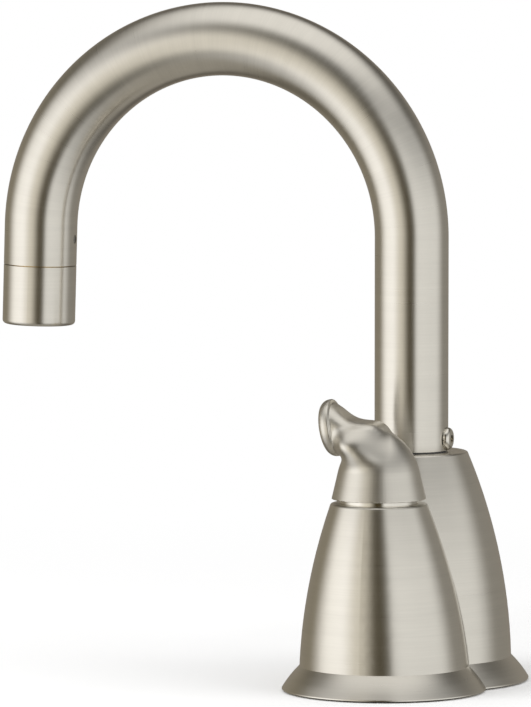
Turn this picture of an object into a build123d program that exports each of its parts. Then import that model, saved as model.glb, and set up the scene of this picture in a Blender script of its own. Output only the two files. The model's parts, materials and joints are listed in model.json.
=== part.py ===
from build123d import *

import os
from math import cos, hypot, radians, sin, sqrt, tan

os.makedirs("parts", exist_ok=True)

# A single-lever instant hot water tap: a swivelling gooseneck spout with a turning lever beside it.
# Lengths are millimetres. +Z is up, and z = 0 is the top of the deck. The origin is on the axis of
# the spout's column, the spout points to -Y at rest, and the lever's bell stands on the +X side.

# Clearances and cutters
running_fit = 0.05
free_gap = 0.3
overrun = 1.0

# Spout tube: a straight column, a bend of a little under half a turn, and a short straight leg
tube_d = 25.0
tube_wall = 1.2
bend_r = 66.5
bend_centre_z = 150.1
bend_angle = 178.4
leg_length = 13.5

# Column bell of the casting, under the spout
column_top_z = 77.7
column_top_r = 19.0
column_foot_r = 34.0
column_bow = 3.3
shell_wall = 3.0
shell_rim_round = 0.8
bell_seam_round = 1.5

# Spread flange round the foot of both bells
flange_base_z = 0.6
flange_height = 7.8
flange_spread = 5.9
flange_nose = 0.4
flange_bow = 0.3

# Lever bell, whose foot drifts towards the column
lever_x = 38.0
lever_drift = 6.0
lever_top_z = 63.6
lever_top_r = 16.1
lever_foot_r = 28.3
lever_bow = 2.05
lever_rings = 7
hub_pocket_gap = 0.7

# Bosses inside the casting, for the base plate's screws
boss_r = 3.4
boss_height = 12.0
boss_inset = 6.2
boss_angle = 110.0

# Rubber gasket under the flange
gasket_thickness = 1.0
gasket_inset = 2.0
gasket_width = 5.4

# Base plate, and the countersunk screws in it
plate_thickness = 4.0
plate_screw_r = 1.5
plate_screw_head_r = 2.6
plate_screw_length = 14.0
block_screw_r = 2.0
block_screw_head_r = 3.7
block_screw_length = 9.0
block_screw_x = 22.0
block_screw_y = 8.0
countersink_angle = 82.0
screw_slot_width = 0.8
screw_slot_depth = 0.7

# Valve block
block_top_z = 34.0
block_web_width = 22.0
column_boss_r = 14.5
column_boss_top_z = 58.0
cartridge_boss_r = 12.3
cartridge_boss_top_z = 40.0
cartridge_bore_r = 9.0
cartridge_seat_z = 24.0
chamber_r = 10.2
chamber_base_z = 28.0
chamber_top_z = 36.0
gallery_r = 2.5
seat_port_r = 3.0
cold_gallery_z = 14.0
feed_gallery_z = 31.0
stud_boss_wall = 3.0

# Tube stubs and stud below the deck
small_stub_r = 3.175
return_stub_r = 4.7625
stub_wall = 0.9
stub_top_z = 12.0
stub_bottom_z = -46.0
stub_bead_z = -32.0
stub_bead_r = 0.8
stub_x = 8.5
stub_y = 8.5
stud_r = 4.0
stud_x = -13.3
stud_top_z = 16.0
stud_bottom_z = -60.0
stud_chamfer = 0.8

# Clamp under the deck
deck_thickness = 20.0
clamp_r = 24.0
clamp_slot_r = 13.2
clamp_slot_x = 6.8
clamp_washer_thickness = 2.0
clamp_bracket_thickness = 3.0
nut_across_flats = 13.0
nut_height = 8.0
nut_chamfer = 0.7
nut_play = 0.1

# Spout post, on which the spout turns
post_r = 8.5
post_base_z = 46.0
post_top_z = 108.0
post_bore_r = 4.5
post_hex_across_flats = 24.0
post_hex_height = 5.0
o_ring_groove_depth = 2.0
o_ring_groove_width = 2.4
lower_o_ring_drop = 15.0
upper_o_ring_drop = 7.0
o_ring_wire_r = 0.93
retainer_z = 82.2
retainer_groove_depth = 1.8
retainer_groove_width = 4.8

# Glide ring between the casting and the spout's foot
glide_thickness = 0.5
glide_rim_inset = 0.4
glide_spigot_r = 10.5

# Bush in the spout's foot
socket_crown_height = 9.0
socket_chamber_height = 2.5
socket_liner_depth = 4.5

# Inner hose
liner_r = 5.5
liner_bore_r = 4.0

# Retaining screw at the back of the spout's foot
retainer_shank_r = 2.0
retainer_head_r = 3.8
retainer_head_height = 2.1
retainer_head_round = 1.5
retainer_key_across_flats = 2.5
retainer_key_depth = 1.3
retainer_seat_depth = 0.3
retainer_tip_gap = 0.4

# Outlet end: threaded insert, grub screw, screw-on sleeve and what the sleeve holds
carrier_liner_depth = 5.0
carrier_neck_length = 9.0
carrier_neck_r = 10.6
outlet_grub_down = 4.45
outlet_grub_r = 1.5
outlet_grub_length = 4.0
outlet_grub_recess = 0.9
outlet_key_across_flats = 1.5
outlet_key_depth = 1.4
sleeve_groove = 0.35
sleeve_length = 20.35
sleeve_lip_height = 1.5
sleeve_mouth_r = 9.0
sleeve_mouth_round = 0.4
sleeve_foot_round = 1.4
washer_thickness = 1.6
washer_bore_r = 7.0
screen_thickness = 0.5
screen_hole_r = 0.5
screen_pitch = 1.9
screen_field_r = 9.2
straightener_hole_r = 0.85
straightener_pitch = 2.3
straightener_field_r = 8.0

# Headwork of the valve
housing_gap = 0.3
housing_hex_across_flats = 22.0
housing_hex_height = 6.0
housing_upper_r = 8.0
housing_neck_r = 6.3
housing_neck_top_z = 71.0
disc_r = 7.0
disc_play = 0.1
disc_thickness = 3.0
disc_port_r = 1.9
disc_port_offset = 3.6
seal_thickness = 2.0
seal_bore_r = 5.6
window_width = 5.0
window_height = 4.0
stem_r = 4.0
stem_bar_length = 13.0
stem_bar_width = 3.4
stem_bar_height = 3.0
stem_square = 5.6
stem_top_z = 84.0
bonnet_nut_height = 4.0

# Polished collar under the lever
collar_r = 13.3
collar_spigot_r = 11.0
collar_top_z = 66.0
collar_round = 0.4

# Lever handle: a conical hub, a broad arm that leans forward over it and a round paddle at its end
handle_base_z = 65.15
handle_base_r = 15.8
cone_top_z = 74.6
cone_top_r = 13.6
dome_top_z = 89.4
dome_bow = 2.5
skirt_bore_r = 14.1
skirt_bore_top_z = 66.9
spring_bore_r = 10.4
spring_bore_top_z = 71.5
arm_reach = 15.0
arm_blend_r = 2.0
arm_blend_top_share = -0.49
arm_corner_share = 0.85
paddle_reach = 16.6
paddle_r = 9.6
paddle_centre_z = 88.3
paddle_thickness = 4.2
paddle_tilt = 10.5
paddle_front_round = 3.0
paddle_back_round = 0.6
paddle_rim_width = 0.9
handle_grub_z = 74.8
handle_grub_r = 2.0
handle_grub_length = 8.0
handle_key_across_flats = 2.0
handle_key_depth = 2.0

# Stations of the arm, from inside the hub to the paddle: how far forward, as a share of the arm's
# reach; half width, bottom and top, as shares of the paddle's radius from its centre
arm_station_shares = (
    (-0.45, 0.35, -0.85, -0.45),
    (0.00, 0.94, -0.92, 0.19),
    (0.27, 1.06, -0.91, 0.27),
    (0.57, 1.00, -0.90, 0.34),
    (0.80, 0.93, -0.91, 0.57),
)

# Torsion spring of the lever
spring_wire_r = 0.5
spring_coil_r = 8.4
spring_pitch = 1.45
spring_turns = 2.5

# Values that follow from the sizes above
tube_r = tube_d / 2
tube_bore_r = tube_r - tube_wall
foot_z = column_top_z + glide_thickness
flange_top_z = flange_base_z + flange_height
lever_foot_x = lever_x - lever_drift
column_flange_r = column_foot_r + flange_spread
lever_flange_r = lever_foot_r + flange_spread
cavity_foot_r = column_foot_r - shell_wall
lever_cavity_foot_r = lever_foot_r - shell_wall
lever_cavity_top_z = lever_top_z - shell_wall
cavity_height_share = (lever_cavity_top_z - flange_top_z) / (lever_top_z - flange_top_z)
plate_top_z = gasket_thickness + plate_thickness
bracket_bottom_z = -deck_thickness - clamp_washer_thickness - clamp_bracket_thickness
lower_o_ring_z = post_top_z - lower_o_ring_drop
upper_o_ring_z = post_top_z - upper_o_ring_drop
socket_top_z = post_top_z + socket_crown_height
socket_bore_r = post_r + running_fit
chamber_roof_z = post_top_z + socket_chamber_height
fixed_disc_z = cartridge_seat_z + seal_thickness
turning_disc_z = fixed_disc_z + disc_thickness
stem_bar_z = turning_disc_z + disc_thickness
housing_cavity_top_z = stem_bar_z + stem_bar_height + free_gap
carrier_foot = leg_length + carrier_neck_length
sleeve_top = leg_length + sleeve_groove
sleeve_foot = sleeve_top + sleeve_length
screen_top = carrier_foot + washer_thickness
straightener_top = screen_top + screen_thickness
straightener_foot = sleeve_foot - sleeve_lip_height
spring_base_z = collar_top_z + free_gap + spring_wire_r

# The leg leans a little outwards, so its pieces are placed on a plane at the end of the bend
leg_tilt = radians(180 - bend_angle)
bend_end = Vector(0, -bend_r - bend_r * cos(leg_tilt), bend_centre_z + bend_r * sin(leg_tilt))
leg_direction = Vector(0, -sin(leg_tilt), -cos(leg_tilt))
inward_direction = Vector(0, cos(leg_tilt), -sin(leg_tilt))
leg_plane = Plane(origin=bend_end, x_dir=(1, 0, 0), z_dir=leg_direction)

paddle_direction = Vector(0, -cos(radians(paddle_tilt)), -sin(radians(paddle_tilt)))
paddle_spot = (lever_x, -paddle_reach, paddle_centre_z)
paddle_plane = Plane(origin=paddle_spot, x_dir=(1, 0, 0), z_dir=paddle_direction)
paddle_back_r = paddle_r - paddle_rim_width
paddle_back_edge = paddle_reach - paddle_thickness
arm_blend_top_z = paddle_centre_z + paddle_r * arm_blend_top_share

lever_axis = Axis((lever_x, 0, 0), (0, 0, 1))
lever_foot_axis = Axis((lever_foot_x, 0, 0), (0, 0, 1))

boss_ring_r = column_foot_r - boss_inset
boss_spot_x = boss_ring_r * cos(radians(boss_angle))
boss_spot_y = boss_ring_r * sin(radians(boss_angle))
lever_boss_x = lever_foot_x + lever_foot_r - boss_inset
boss_spots = [(boss_spot_x, boss_spot_y), (boss_spot_x, -boss_spot_y), (lever_boss_x, 0)]
block_screw_spots = [(block_screw_x, block_screw_y), (block_screw_x, -block_screw_y)]
cold_spot = (stub_x, -stub_y)
feed_spot = (stub_x, stub_y)
upright = (Align.CENTER, Align.CENTER, Align.MIN)


def lever_ring_r(share):
    """Outer radius of the lever bell at a share of its height, on a shallow bow."""
    straight = lever_foot_r + (lever_top_r - lever_foot_r) * share
    return straight + 4 * lever_bow * share * (1 - share)


def lever_ring_plane(share):
    """Level plane of the lever bell at a share of its height, centred on its drifting axis."""
    height = flange_top_z + (lever_top_z - flange_top_z) * share
    return Plane(origin=(lever_foot_x + lever_drift * share, 0, height))


def gasket_outline():
    """Ring round both bells, under the flange."""
    outer_inset = gasket_inset
    inner_inset = gasket_inset + gasket_width
    Circle(column_flange_r - outer_inset)
    with Locations((lever_foot_x, 0)):
        Circle(lever_flange_r - outer_inset)
    Circle(column_flange_r - inner_inset, mode=Mode.SUBTRACT)
    with Locations((lever_foot_x, 0)):
        Circle(lever_flange_r - inner_inset, mode=Mode.SUBTRACT)


def countersunk_screws(spots, shank_r, head_r, length):
    """Slotted screws that point up from the underside of the base plate."""
    head_height = (head_r - shank_r) / tan(radians(countersink_angle / 2))
    seats = [(x, y, gasket_thickness) for x, y in spots]
    with Locations(*seats):
        Cylinder(shank_r, length, align=upright)
        Cone(head_r, shank_r, head_height, align=upright)
        Box(2 * head_r, screw_slot_width, screw_slot_depth, align=upright, mode=Mode.SUBTRACT)


def tube_stub(spot, outer_r):
    """Tube from the valve block down through the deck, with a bead that stops the hose."""
    length = stub_top_z - stub_bottom_z
    with Locations((*spot, stub_bottom_z)):
        Cylinder(outer_r, length, align=upright)
    with Locations((*spot, stub_bead_z)):
        Torus(outer_r, stub_bead_r)
    with Locations((*spot, stub_bottom_z)):
        Cylinder(outer_r - stub_wall, length, align=upright, mode=Mode.SUBTRACT)


def horseshoe_outline():
    """Disc with a hole for the stud and a slot, open to +X, for the three stubs."""
    Circle(clamp_r)
    with Locations((stud_x, 0)):
        Circle(stud_r + free_gap, mode=Mode.SUBTRACT)
    with Locations((clamp_slot_x, 0)):
        Circle(clamp_slot_r, mode=Mode.SUBTRACT)
    with Locations((clamp_slot_x + clamp_r / 2, 0)):
        Rectangle(clamp_r, 2 * clamp_slot_r, mode=Mode.SUBTRACT)


def hexagonal_field(pitch, field_r):
    """Centres of a hexagonal pattern of holes inside a circle."""
    row_pitch = pitch * sqrt(3) / 2
    reach = int(field_r / row_pitch) + 1
    spots = []
    for row in range(-reach, reach + 1):
        for column in range(-reach, reach + 1):
            spot = ((column + (row % 2) / 2) * pitch, row * row_pitch)
            if hypot(*spot) <= field_r:
                spots.append(spot)
    return spots


# Hollow casting: two merged bells on a spread flange
with BuildPart() as body_shell:
    with BuildSketch(Plane.XZ):
        with BuildLine():
            nose = (column_flange_r, flange_base_z + flange_nose)
            crease = (column_foot_r, flange_top_z)
            rim = (column_top_r, column_top_z)
            Polyline((0, column_top_z), (0, flange_base_z), (column_flange_r, flange_base_z), nose)
            SagittaArc(nose, crease, -flange_bow)
            SagittaArc(crease, rim, -column_bow)
            Line(rim, (0, column_top_z))
        make_face()
    revolve(axis=Axis.Z)
    fillet(body_shell.edges().filter_by(GeomType.CIRCLE).group_by(Axis.Z)[-1], shell_rim_round)

    with BuildSketch(Plane.XZ):
        with BuildLine():
            nose = (lever_foot_x + lever_flange_r, flange_base_z + flange_nose)
            crease = (lever_foot_x + lever_foot_r, flange_top_z)
            foot = (lever_foot_x + lever_flange_r, flange_base_z)
            Polyline(crease, (lever_foot_x, flange_top_z), (lever_foot_x, flange_base_z), foot, nose)
            SagittaArc(nose, crease, -flange_bow)
        make_face()
    revolve(axis=lever_foot_axis)
    for ring in range(lever_rings):
        ring_share = ring / (lever_rings - 1)
        with BuildSketch(lever_ring_plane(ring_share)):
            Circle(lever_ring_r(ring_share))
    loft()
    new_edges = body_shell.edges(Select.NEW)
    fillet([edge for edge in new_edges if edge.bounding_box().size.Z > flange_height], bell_seam_round)
    rim_zone = (lever_top_z - running_fit, lever_top_z + running_fit)
    fillet(body_shell.edges().filter_by_position(Axis.Z, *rim_zone), shell_rim_round)

    # Room for the lever's hub, which turns close beside the column bell
    with BuildSketch(Plane.XY.offset(lever_top_z)):
        with Locations((lever_x, 0)):
            Circle(handle_base_r + hub_pocket_gap)
    extrude(amount=column_top_z - lever_top_z, mode=Mode.SUBTRACT)

    # Hollow of the column bell
    with BuildSketch(Plane.XZ):
        with BuildLine():
            foot = (cavity_foot_r, flange_base_z - overrun)
            crease = (cavity_foot_r, flange_top_z)
            rim = (column_top_r - shell_wall, column_top_z - shell_wall)
            Polyline(rim, (0, column_top_z - shell_wall), (0, flange_base_z - overrun), foot, crease)
            SagittaArc(crease, rim, -column_bow)
        make_face()
    revolve(axis=Axis.Z, mode=Mode.SUBTRACT)

    # Hollow of the lever bell
    with BuildSketch(Plane.XY.offset(flange_base_z - overrun)):
        with Locations((lever_foot_x, 0)):
            Circle(lever_cavity_foot_r)
    extrude(amount=flange_height + overrun, mode=Mode.SUBTRACT)
    for ring in range(lever_rings):
        ring_share = ring / (lever_rings - 1) * cavity_height_share
        with BuildSketch(lever_ring_plane(ring_share)):
            Circle(lever_ring_r(ring_share) - shell_wall)
    loft(mode=Mode.SUBTRACT)

    # Openings for the glide ring's spigot and the collar's spigot
    with BuildSketch(Plane.XY.offset(column_top_z - shell_wall - overrun)):
        Circle(glide_spigot_r)
    extrude(amount=shell_wall + 2 * overrun, mode=Mode.SUBTRACT)
    with BuildSketch(Plane.XY.offset(lever_cavity_top_z - overrun)):
        with Locations((lever_x, 0)):
            Circle(collar_spigot_r)
    extrude(amount=shell_wall + 2 * overrun, mode=Mode.SUBTRACT)

    # Recess for the gasket
    with BuildSketch():
        gasket_outline()
    extrude(amount=gasket_thickness, mode=Mode.SUBTRACT)

    # Bosses for the base plate's screws
    with BuildSketch(Plane.XY.offset(plate_top_z)):
        with Locations(*boss_spots):
            Circle(boss_r)
    extrude(amount=boss_height)
    with BuildSketch(Plane.XY.offset(plate_top_z)):
        with Locations(*boss_spots):
            Circle(plate_screw_r)
    extrude(amount=plate_screw_length - plate_thickness + free_gap, mode=Mode.SUBTRACT)
body_shell.part.label = "body_shell"
export_step(body_shell.part, "parts/body_shell.step")

# Rubber ring under the flange
with BuildPart() as base_gasket:
    with BuildSketch():
        gasket_outline()
    extrude(amount=gasket_thickness)
base_gasket.part.label = "base_gasket"
export_step(base_gasket.part, "parts/base_gasket.step")

# Plate that closes the casting and carries the valve block
with BuildPart() as base_plate:
    with BuildSketch(Plane.XY.offset(gasket_thickness)):
        Circle(cavity_foot_r - free_gap)
        with Locations((lever_foot_x, 0)):
            Circle(lever_cavity_foot_r - free_gap)
        Circle(return_stub_r + free_gap, mode=Mode.SUBTRACT)
        with Locations(cold_spot, feed_spot):
            Circle(small_stub_r + free_gap, mode=Mode.SUBTRACT)
        with Locations((stud_x, 0)):
            Circle(stud_r + free_gap, mode=Mode.SUBTRACT)
    extrude(amount=plate_thickness)
    underside = Plane(origin=(0, 0, gasket_thickness), x_dir=(1, 0, 0), z_dir=(0, 0, -1))
    with Locations(underside):
        with Locations(*boss_spots):
            CounterSinkHole(plate_screw_r, plate_screw_head_r, plate_thickness, countersink_angle)
        with Locations(*block_screw_spots):
            CounterSinkHole(block_screw_r, block_screw_head_r, plate_thickness, countersink_angle)
base_plate.part.label = "base_plate"
export_step(base_plate.part, "parts/base_plate.step")

# Three screws that hold the plate in the casting
with BuildPart() as base_screws:
    countersunk_screws(boss_spots, plate_screw_r, plate_screw_head_r, plate_screw_length)
base_screws.part.label = "base_screws"
export_step(base_screws.part, "parts/base_screws.step")

# Two screws that hold the valve block on the plate
with BuildPart() as manifold_screws:
    countersunk_screws(block_screw_spots, block_screw_r, block_screw_head_r, block_screw_length)
manifold_screws.part.label = "manifold_screws"
export_step(manifold_screws.part, "parts/manifold_screws.step")

# Valve block with its drilled water ways
with BuildPart() as valve_manifold:
    with BuildSketch(Plane.XY.offset(plate_top_z)):
        Circle(column_boss_r)
        with Locations((lever_x / 2, 0)):
            Rectangle(lever_x, block_web_width)
        with Locations((lever_x, 0)):
            Circle(cartridge_boss_r)
        with Locations((stud_x, 0)):
            Circle(stud_r + stud_boss_wall)
    extrude(amount=block_top_z - plate_top_z)
    with BuildSketch(Plane.XY.offset(block_top_z)):
        Circle(column_boss_r)
    extrude(amount=column_boss_top_z - block_top_z)
    with BuildSketch(Plane.XY.offset(block_top_z)):
        with Locations((lever_x, 0)):
            Circle(cartridge_boss_r)
    extrude(amount=cartridge_boss_top_z - block_top_z)

    # Seats of the post and the headwork
    with BuildSketch(Plane.XY.offset(post_base_z)):
        Circle(post_r)
    extrude(amount=column_boss_top_z - post_base_z, mode=Mode.SUBTRACT)
    with BuildSketch(Plane.XY.offset(cartridge_seat_z)):
        with Locations((lever_x, 0)):
            Circle(cartridge_bore_r)
    extrude(amount=cartridge_boss_top_z - cartridge_seat_z, mode=Mode.SUBTRACT)
    with BuildSketch(Plane.XY.offset(chamber_base_z)):
        with Locations((lever_x, 0)):
            Circle(chamber_r)
    extrude(amount=chamber_top_z - chamber_base_z, mode=Mode.SUBTRACT)

    # Sockets of the stubs, the stud and the screws
    with BuildSketch(Plane.XY.offset(plate_top_z)):
        Circle(return_stub_r)
        with Locations(cold_spot, feed_spot):
            Circle(small_stub_r)
    extrude(amount=stub_top_z - plate_top_z, mode=Mode.SUBTRACT)
    with BuildSketch(Plane.XY.offset(plate_top_z)):
        with Locations((stud_x, 0)):
            Circle(stud_r)
    extrude(amount=stud_top_z - plate_top_z, mode=Mode.SUBTRACT)
    with BuildSketch(Plane.XY.offset(plate_top_z)):
        with Locations(*block_screw_spots):
            Circle(block_screw_r)
    extrude(amount=block_screw_length - plate_thickness + free_gap, mode=Mode.SUBTRACT)

    # Water ways: hot water straight up to the post, cold water across to the seat and back
    with BuildSketch(Plane.XY.offset(stub_top_z)):
        Circle(return_stub_r - stub_wall)
    extrude(amount=post_base_z - stub_top_z, mode=Mode.SUBTRACT)
    with BuildSketch(Plane.XY.offset(stub_top_z)):
        with Locations(cold_spot):
            Circle(gallery_r)
    extrude(amount=cold_gallery_z - stub_top_z, mode=Mode.SUBTRACT)
    with BuildSketch(Plane.XY.offset(stub_top_z)):
        with Locations(feed_spot):
            Circle(gallery_r)
    extrude(amount=feed_gallery_z - stub_top_z, mode=Mode.SUBTRACT)
    with BuildSketch(Plane.XY.offset(cold_gallery_z)):
        with Locations((lever_x, 0)):
            Circle(seat_port_r)
    extrude(amount=cartridge_seat_z - cold_gallery_z, mode=Mode.SUBTRACT)
    cold_run = Vector(lever_x - stub_x, stub_y, 0)
    with BuildSketch(Plane(origin=(stub_x, -stub_y, cold_gallery_z), z_dir=cold_run)):
        Circle(gallery_r)
    extrude(amount=cold_run.length, mode=Mode.SUBTRACT)
    feed_run = Vector(lever_x - stub_x, -stub_y, 0)
    with BuildSketch(Plane(origin=(stub_x, stub_y, feed_gallery_z), z_dir=feed_run)):
        Circle(gallery_r)
    extrude(amount=feed_run.length, mode=Mode.SUBTRACT)
valve_manifold.part.label = "valve_manifold"
export_step(valve_manifold.part, "parts/valve_manifold.step")

# Tube stubs: cold supply, feed to the tank, and hot water back from the tank
with BuildPart() as cold_inlet_stub:
    tube_stub(cold_spot, small_stub_r)
cold_inlet_stub.part.label = "cold_inlet_stub"
export_step(cold_inlet_stub.part, "parts/cold_inlet_stub.step")

with BuildPart() as tank_feed_stub:
    tube_stub(feed_spot, small_stub_r)
tank_feed_stub.part.label = "tank_feed_stub"
export_step(tank_feed_stub.part, "parts/tank_feed_stub.step")

with BuildPart() as hot_return_stub:
    tube_stub((0, 0), return_stub_r)
hot_return_stub.part.label = "hot_return_stub"
export_step(hot_return_stub.part, "parts/hot_return_stub.step")

# Threaded stud below the deck
with BuildPart() as mounting_stud:
    with BuildSketch(Plane.XY.offset(stud_bottom_z)):
        with Locations((stud_x, 0)):
            Circle(stud_r)
    extrude(amount=stud_top_z - stud_bottom_z)
    chamfer(mounting_stud.edges().filter_by(GeomType.CIRCLE).sort_by(Axis.Z)[0], stud_chamfer)
mounting_stud.part.label = "mounting_stud"
export_step(mounting_stud.part, "parts/mounting_stud.step")

# Clamp under the deck: rubber washer, horseshoe bracket and hexagon nut
with BuildPart() as clamp_washer:
    with BuildSketch(Plane.XY.offset(-deck_thickness - clamp_washer_thickness)):
        horseshoe_outline()
    extrude(amount=clamp_washer_thickness)
clamp_washer.part.label = "clamp_washer"
export_step(clamp_washer.part, "parts/clamp_washer.step")

with BuildPart() as clamp_bracket:
    with BuildSketch(Plane.XY.offset(bracket_bottom_z)):
        horseshoe_outline()
    extrude(amount=clamp_bracket_thickness)
clamp_bracket.part.label = "clamp_bracket"
export_step(clamp_bracket.part, "parts/clamp_bracket.step")

with BuildPart() as mounting_nut:
    with BuildSketch(Plane.XY.offset(bracket_bottom_z - nut_height)):
        with Locations((stud_x, 0)):
            Circle(nut_across_flats / sqrt(3))
    extrude(amount=nut_height)
    chamfer(mounting_nut.edges().filter_by(GeomType.CIRCLE), nut_chamfer)
    with BuildSketch(Plane.XY.offset(bracket_bottom_z - nut_height)):
        with Locations((stud_x, 0)):
            RegularPolygon(nut_across_flats / 2, 6, major_radius=False)
            Circle(stud_r + nut_play, mode=Mode.SUBTRACT)
    extrude(amount=nut_height, mode=Mode.INTERSECT)
mounting_nut.part.label = "mounting_nut"
export_step(mounting_nut.part, "parts/mounting_nut.step")

# Post on which the spout turns, with grooves for two seals and for the retaining screw's tip
with BuildPart() as spout_post:
    with BuildSketch(Plane.XY.offset(post_base_z)):
        Circle(post_r)
    extrude(amount=post_top_z - post_base_z)
    with BuildSketch(Plane.XY.offset(column_boss_top_z)):
        RegularPolygon(post_hex_across_flats / 2, 6, major_radius=False)
    extrude(amount=post_hex_height)
    with BuildSketch(Plane.XY.offset(post_base_z)):
        Circle(post_bore_r)
    extrude(amount=post_top_z - post_base_z, mode=Mode.SUBTRACT)
    for ring_z in (lower_o_ring_z, upper_o_ring_z):
        with BuildSketch(Plane.XY.offset(ring_z - o_ring_groove_width / 2)):
            Circle(post_r + overrun)
            Circle(post_r - o_ring_groove_depth, mode=Mode.SUBTRACT)
        extrude(amount=o_ring_groove_width, mode=Mode.SUBTRACT)
    with BuildSketch(Plane.XY.offset(retainer_z - retainer_groove_width / 2)):
        Circle(post_r + overrun)
        Circle(post_r - retainer_groove_depth, mode=Mode.SUBTRACT)
    extrude(amount=retainer_groove_width, mode=Mode.SUBTRACT)
spout_post.part.label = "spout_post"
export_step(spout_post.part, "parts/spout_post.step")

# Two seals in the post's grooves, just clear of the bush that turns round them
with BuildPart() as post_o_rings:
    o_ring_r = post_r - running_fit - o_ring_wire_r
    with Locations((0, 0, lower_o_ring_z), (0, 0, upper_o_ring_z)):
        Torus(o_ring_r, o_ring_wire_r)
post_o_rings.part.label = "post_o_rings"
export_step(post_o_rings.part, "parts/post_o_rings.step")

# Plastic ring that carries the spout's foot on the casting
with BuildPart() as spout_glide_ring:
    with BuildSketch(Plane.XY.offset(column_top_z)):
        Circle(tube_r - glide_rim_inset)
    extrude(amount=glide_thickness)
    with BuildSketch(Plane.XY.offset(column_top_z - shell_wall)):
        Circle(glide_spigot_r)
    extrude(amount=shell_wall)
    with BuildSketch(Plane.XY.offset(column_top_z - shell_wall)):
        Circle(post_r)
    extrude(amount=shell_wall + glide_thickness, mode=Mode.SUBTRACT)
spout_glide_ring.part.label = "spout_glide_ring"
export_step(spout_glide_ring.part, "parts/spout_glide_ring.step")

# Gooseneck tube
retainer_plane = Plane(origin=(0, tube_r - retainer_seat_depth, retainer_z), x_dir=(1, 0, 0), z_dir=(0, 1, 0))
outlet_grub_spot = bend_end + leg_direction * outlet_grub_down
outlet_grub_plane = Plane(origin=outlet_grub_spot, x_dir=(1, 0, 0), z_dir=inward_direction)
with BuildPart() as spout_tube:
    with BuildLine() as tube_path:
        bend_top_angle = radians(bend_angle / 2)
        bend_top = (0, -bend_r + bend_r * cos(bend_top_angle), bend_centre_z + bend_r * sin(bend_top_angle))
        Line((0, 0, foot_z), (0, 0, bend_centre_z))
        ThreePointArc((0, 0, bend_centre_z), bend_top, bend_end)
        Line(bend_end, bend_end + leg_direction * leg_length)
    with BuildSketch(Plane.XY.offset(foot_z)):
        Circle(tube_r)
        Circle(tube_bore_r, mode=Mode.SUBTRACT)
    sweep(path=tube_path.wire())
    with BuildSketch(retainer_plane):
        Circle(retainer_head_r + running_fit)
    extrude(amount=overrun, mode=Mode.SUBTRACT)
    with BuildSketch(retainer_plane):
        Circle(retainer_shank_r)
    extrude(amount=-2 * tube_wall, mode=Mode.SUBTRACT)
    with BuildSketch(outlet_grub_plane):
        Circle(outlet_grub_r)
    extrude(amount=tube_r + overrun, mode=Mode.SUBTRACT)
spout_tube.part.label = "spout_tube"
export_step(spout_tube.part, "parts/spout_tube.step")

# Bush in the tube's foot: it turns on the post and holds the hose's lower end
with BuildPart() as spout_socket:
    with BuildSketch(Plane.XY.offset(foot_z)):
        Circle(tube_bore_r)
    extrude(amount=socket_top_z - foot_z)
    with BuildSketch(Plane.XY.offset(foot_z)):
        Circle(socket_bore_r)
    extrude(amount=chamber_roof_z - foot_z, mode=Mode.SUBTRACT)
    with BuildSketch(Plane.XY.offset(chamber_roof_z)):
        Circle(liner_bore_r)
    extrude(amount=socket_top_z - chamber_roof_z, mode=Mode.SUBTRACT)
    with BuildSketch(Plane.XY.offset(socket_top_z - socket_liner_depth)):
        Circle(liner_r)
    extrude(amount=socket_liner_depth, mode=Mode.SUBTRACT)
    with BuildSketch(retainer_plane):
        Circle(retainer_shank_r)
    extrude(amount=-(tube_r - post_r), mode=Mode.SUBTRACT)
spout_socket.part.label = "spout_socket"
export_step(spout_socket.part, "parts/spout_socket.step")

# Inner hose, from the bush to the insert at the outlet
with BuildPart() as spout_liner:
    liner_base_z = socket_top_z - socket_liner_depth
    with BuildLine() as liner_path:
        Line((0, 0, liner_base_z), (0, 0, bend_centre_z))
        ThreePointArc((0, 0, bend_centre_z), bend_top, bend_end)
        Line(bend_end, bend_end + leg_direction * carrier_liner_depth)
    with BuildSketch(Plane.XY.offset(liner_base_z)):
        Circle(liner_r)
        Circle(liner_bore_r, mode=Mode.SUBTRACT)
    sweep(path=liner_path.wire())
spout_liner.part.label = "spout_liner"
export_step(spout_liner.part, "parts/spout_liner.step")

# Button-head screw at the back of the foot, whose tip runs in the post's groove
with BuildPart() as spout_retaining_screw:
    with BuildSketch(retainer_plane):
        Circle(retainer_head_r)
    extrude(amount=retainer_head_height)
    fillet(spout_retaining_screw.edges().filter_by(GeomType.CIRCLE).sort_by(Axis.Y)[-1], retainer_head_round)
    with BuildSketch(retainer_plane.offset(retainer_head_height - retainer_key_depth)):
        RegularPolygon(retainer_key_across_flats / 2, 6, major_radius=False)
    extrude(amount=retainer_key_depth, mode=Mode.SUBTRACT)
    with BuildSketch(retainer_plane):
        Circle(retainer_shank_r)
    extrude(amount=-(tube_r - retainer_seat_depth - post_r + retainer_groove_depth - retainer_tip_gap))
spout_retaining_screw.part.label = "spout_retaining_screw"
export_step(spout_retaining_screw.part, "parts/spout_retaining_screw.step")

# Insert in the outlet end of the tube: it holds the hose, and its neck carries the sleeve
with BuildPart() as outlet_carrier:
    with BuildSketch(leg_plane.offset(free_gap)):
        Circle(tube_bore_r)
    extrude(amount=leg_length - free_gap)
    with BuildSketch(leg_plane.offset(leg_length)):
        Circle(carrier_neck_r)
    extrude(amount=carrier_neck_length)
    with BuildSketch(leg_plane):
        Circle(liner_r)
    extrude(amount=carrier_liner_depth, mode=Mode.SUBTRACT)
    with BuildSketch(leg_plane):
        Circle(liner_bore_r)
    extrude(amount=carrier_foot, mode=Mode.SUBTRACT)
    with BuildSketch(outlet_grub_plane.offset(liner_r + overrun)):
        Circle(outlet_grub_r)
    extrude(amount=tube_r, mode=Mode.SUBTRACT)
outlet_carrier.part.label = "outlet_carrier"
export_step(outlet_carrier.part, "parts/outlet_carrier.step")

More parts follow.
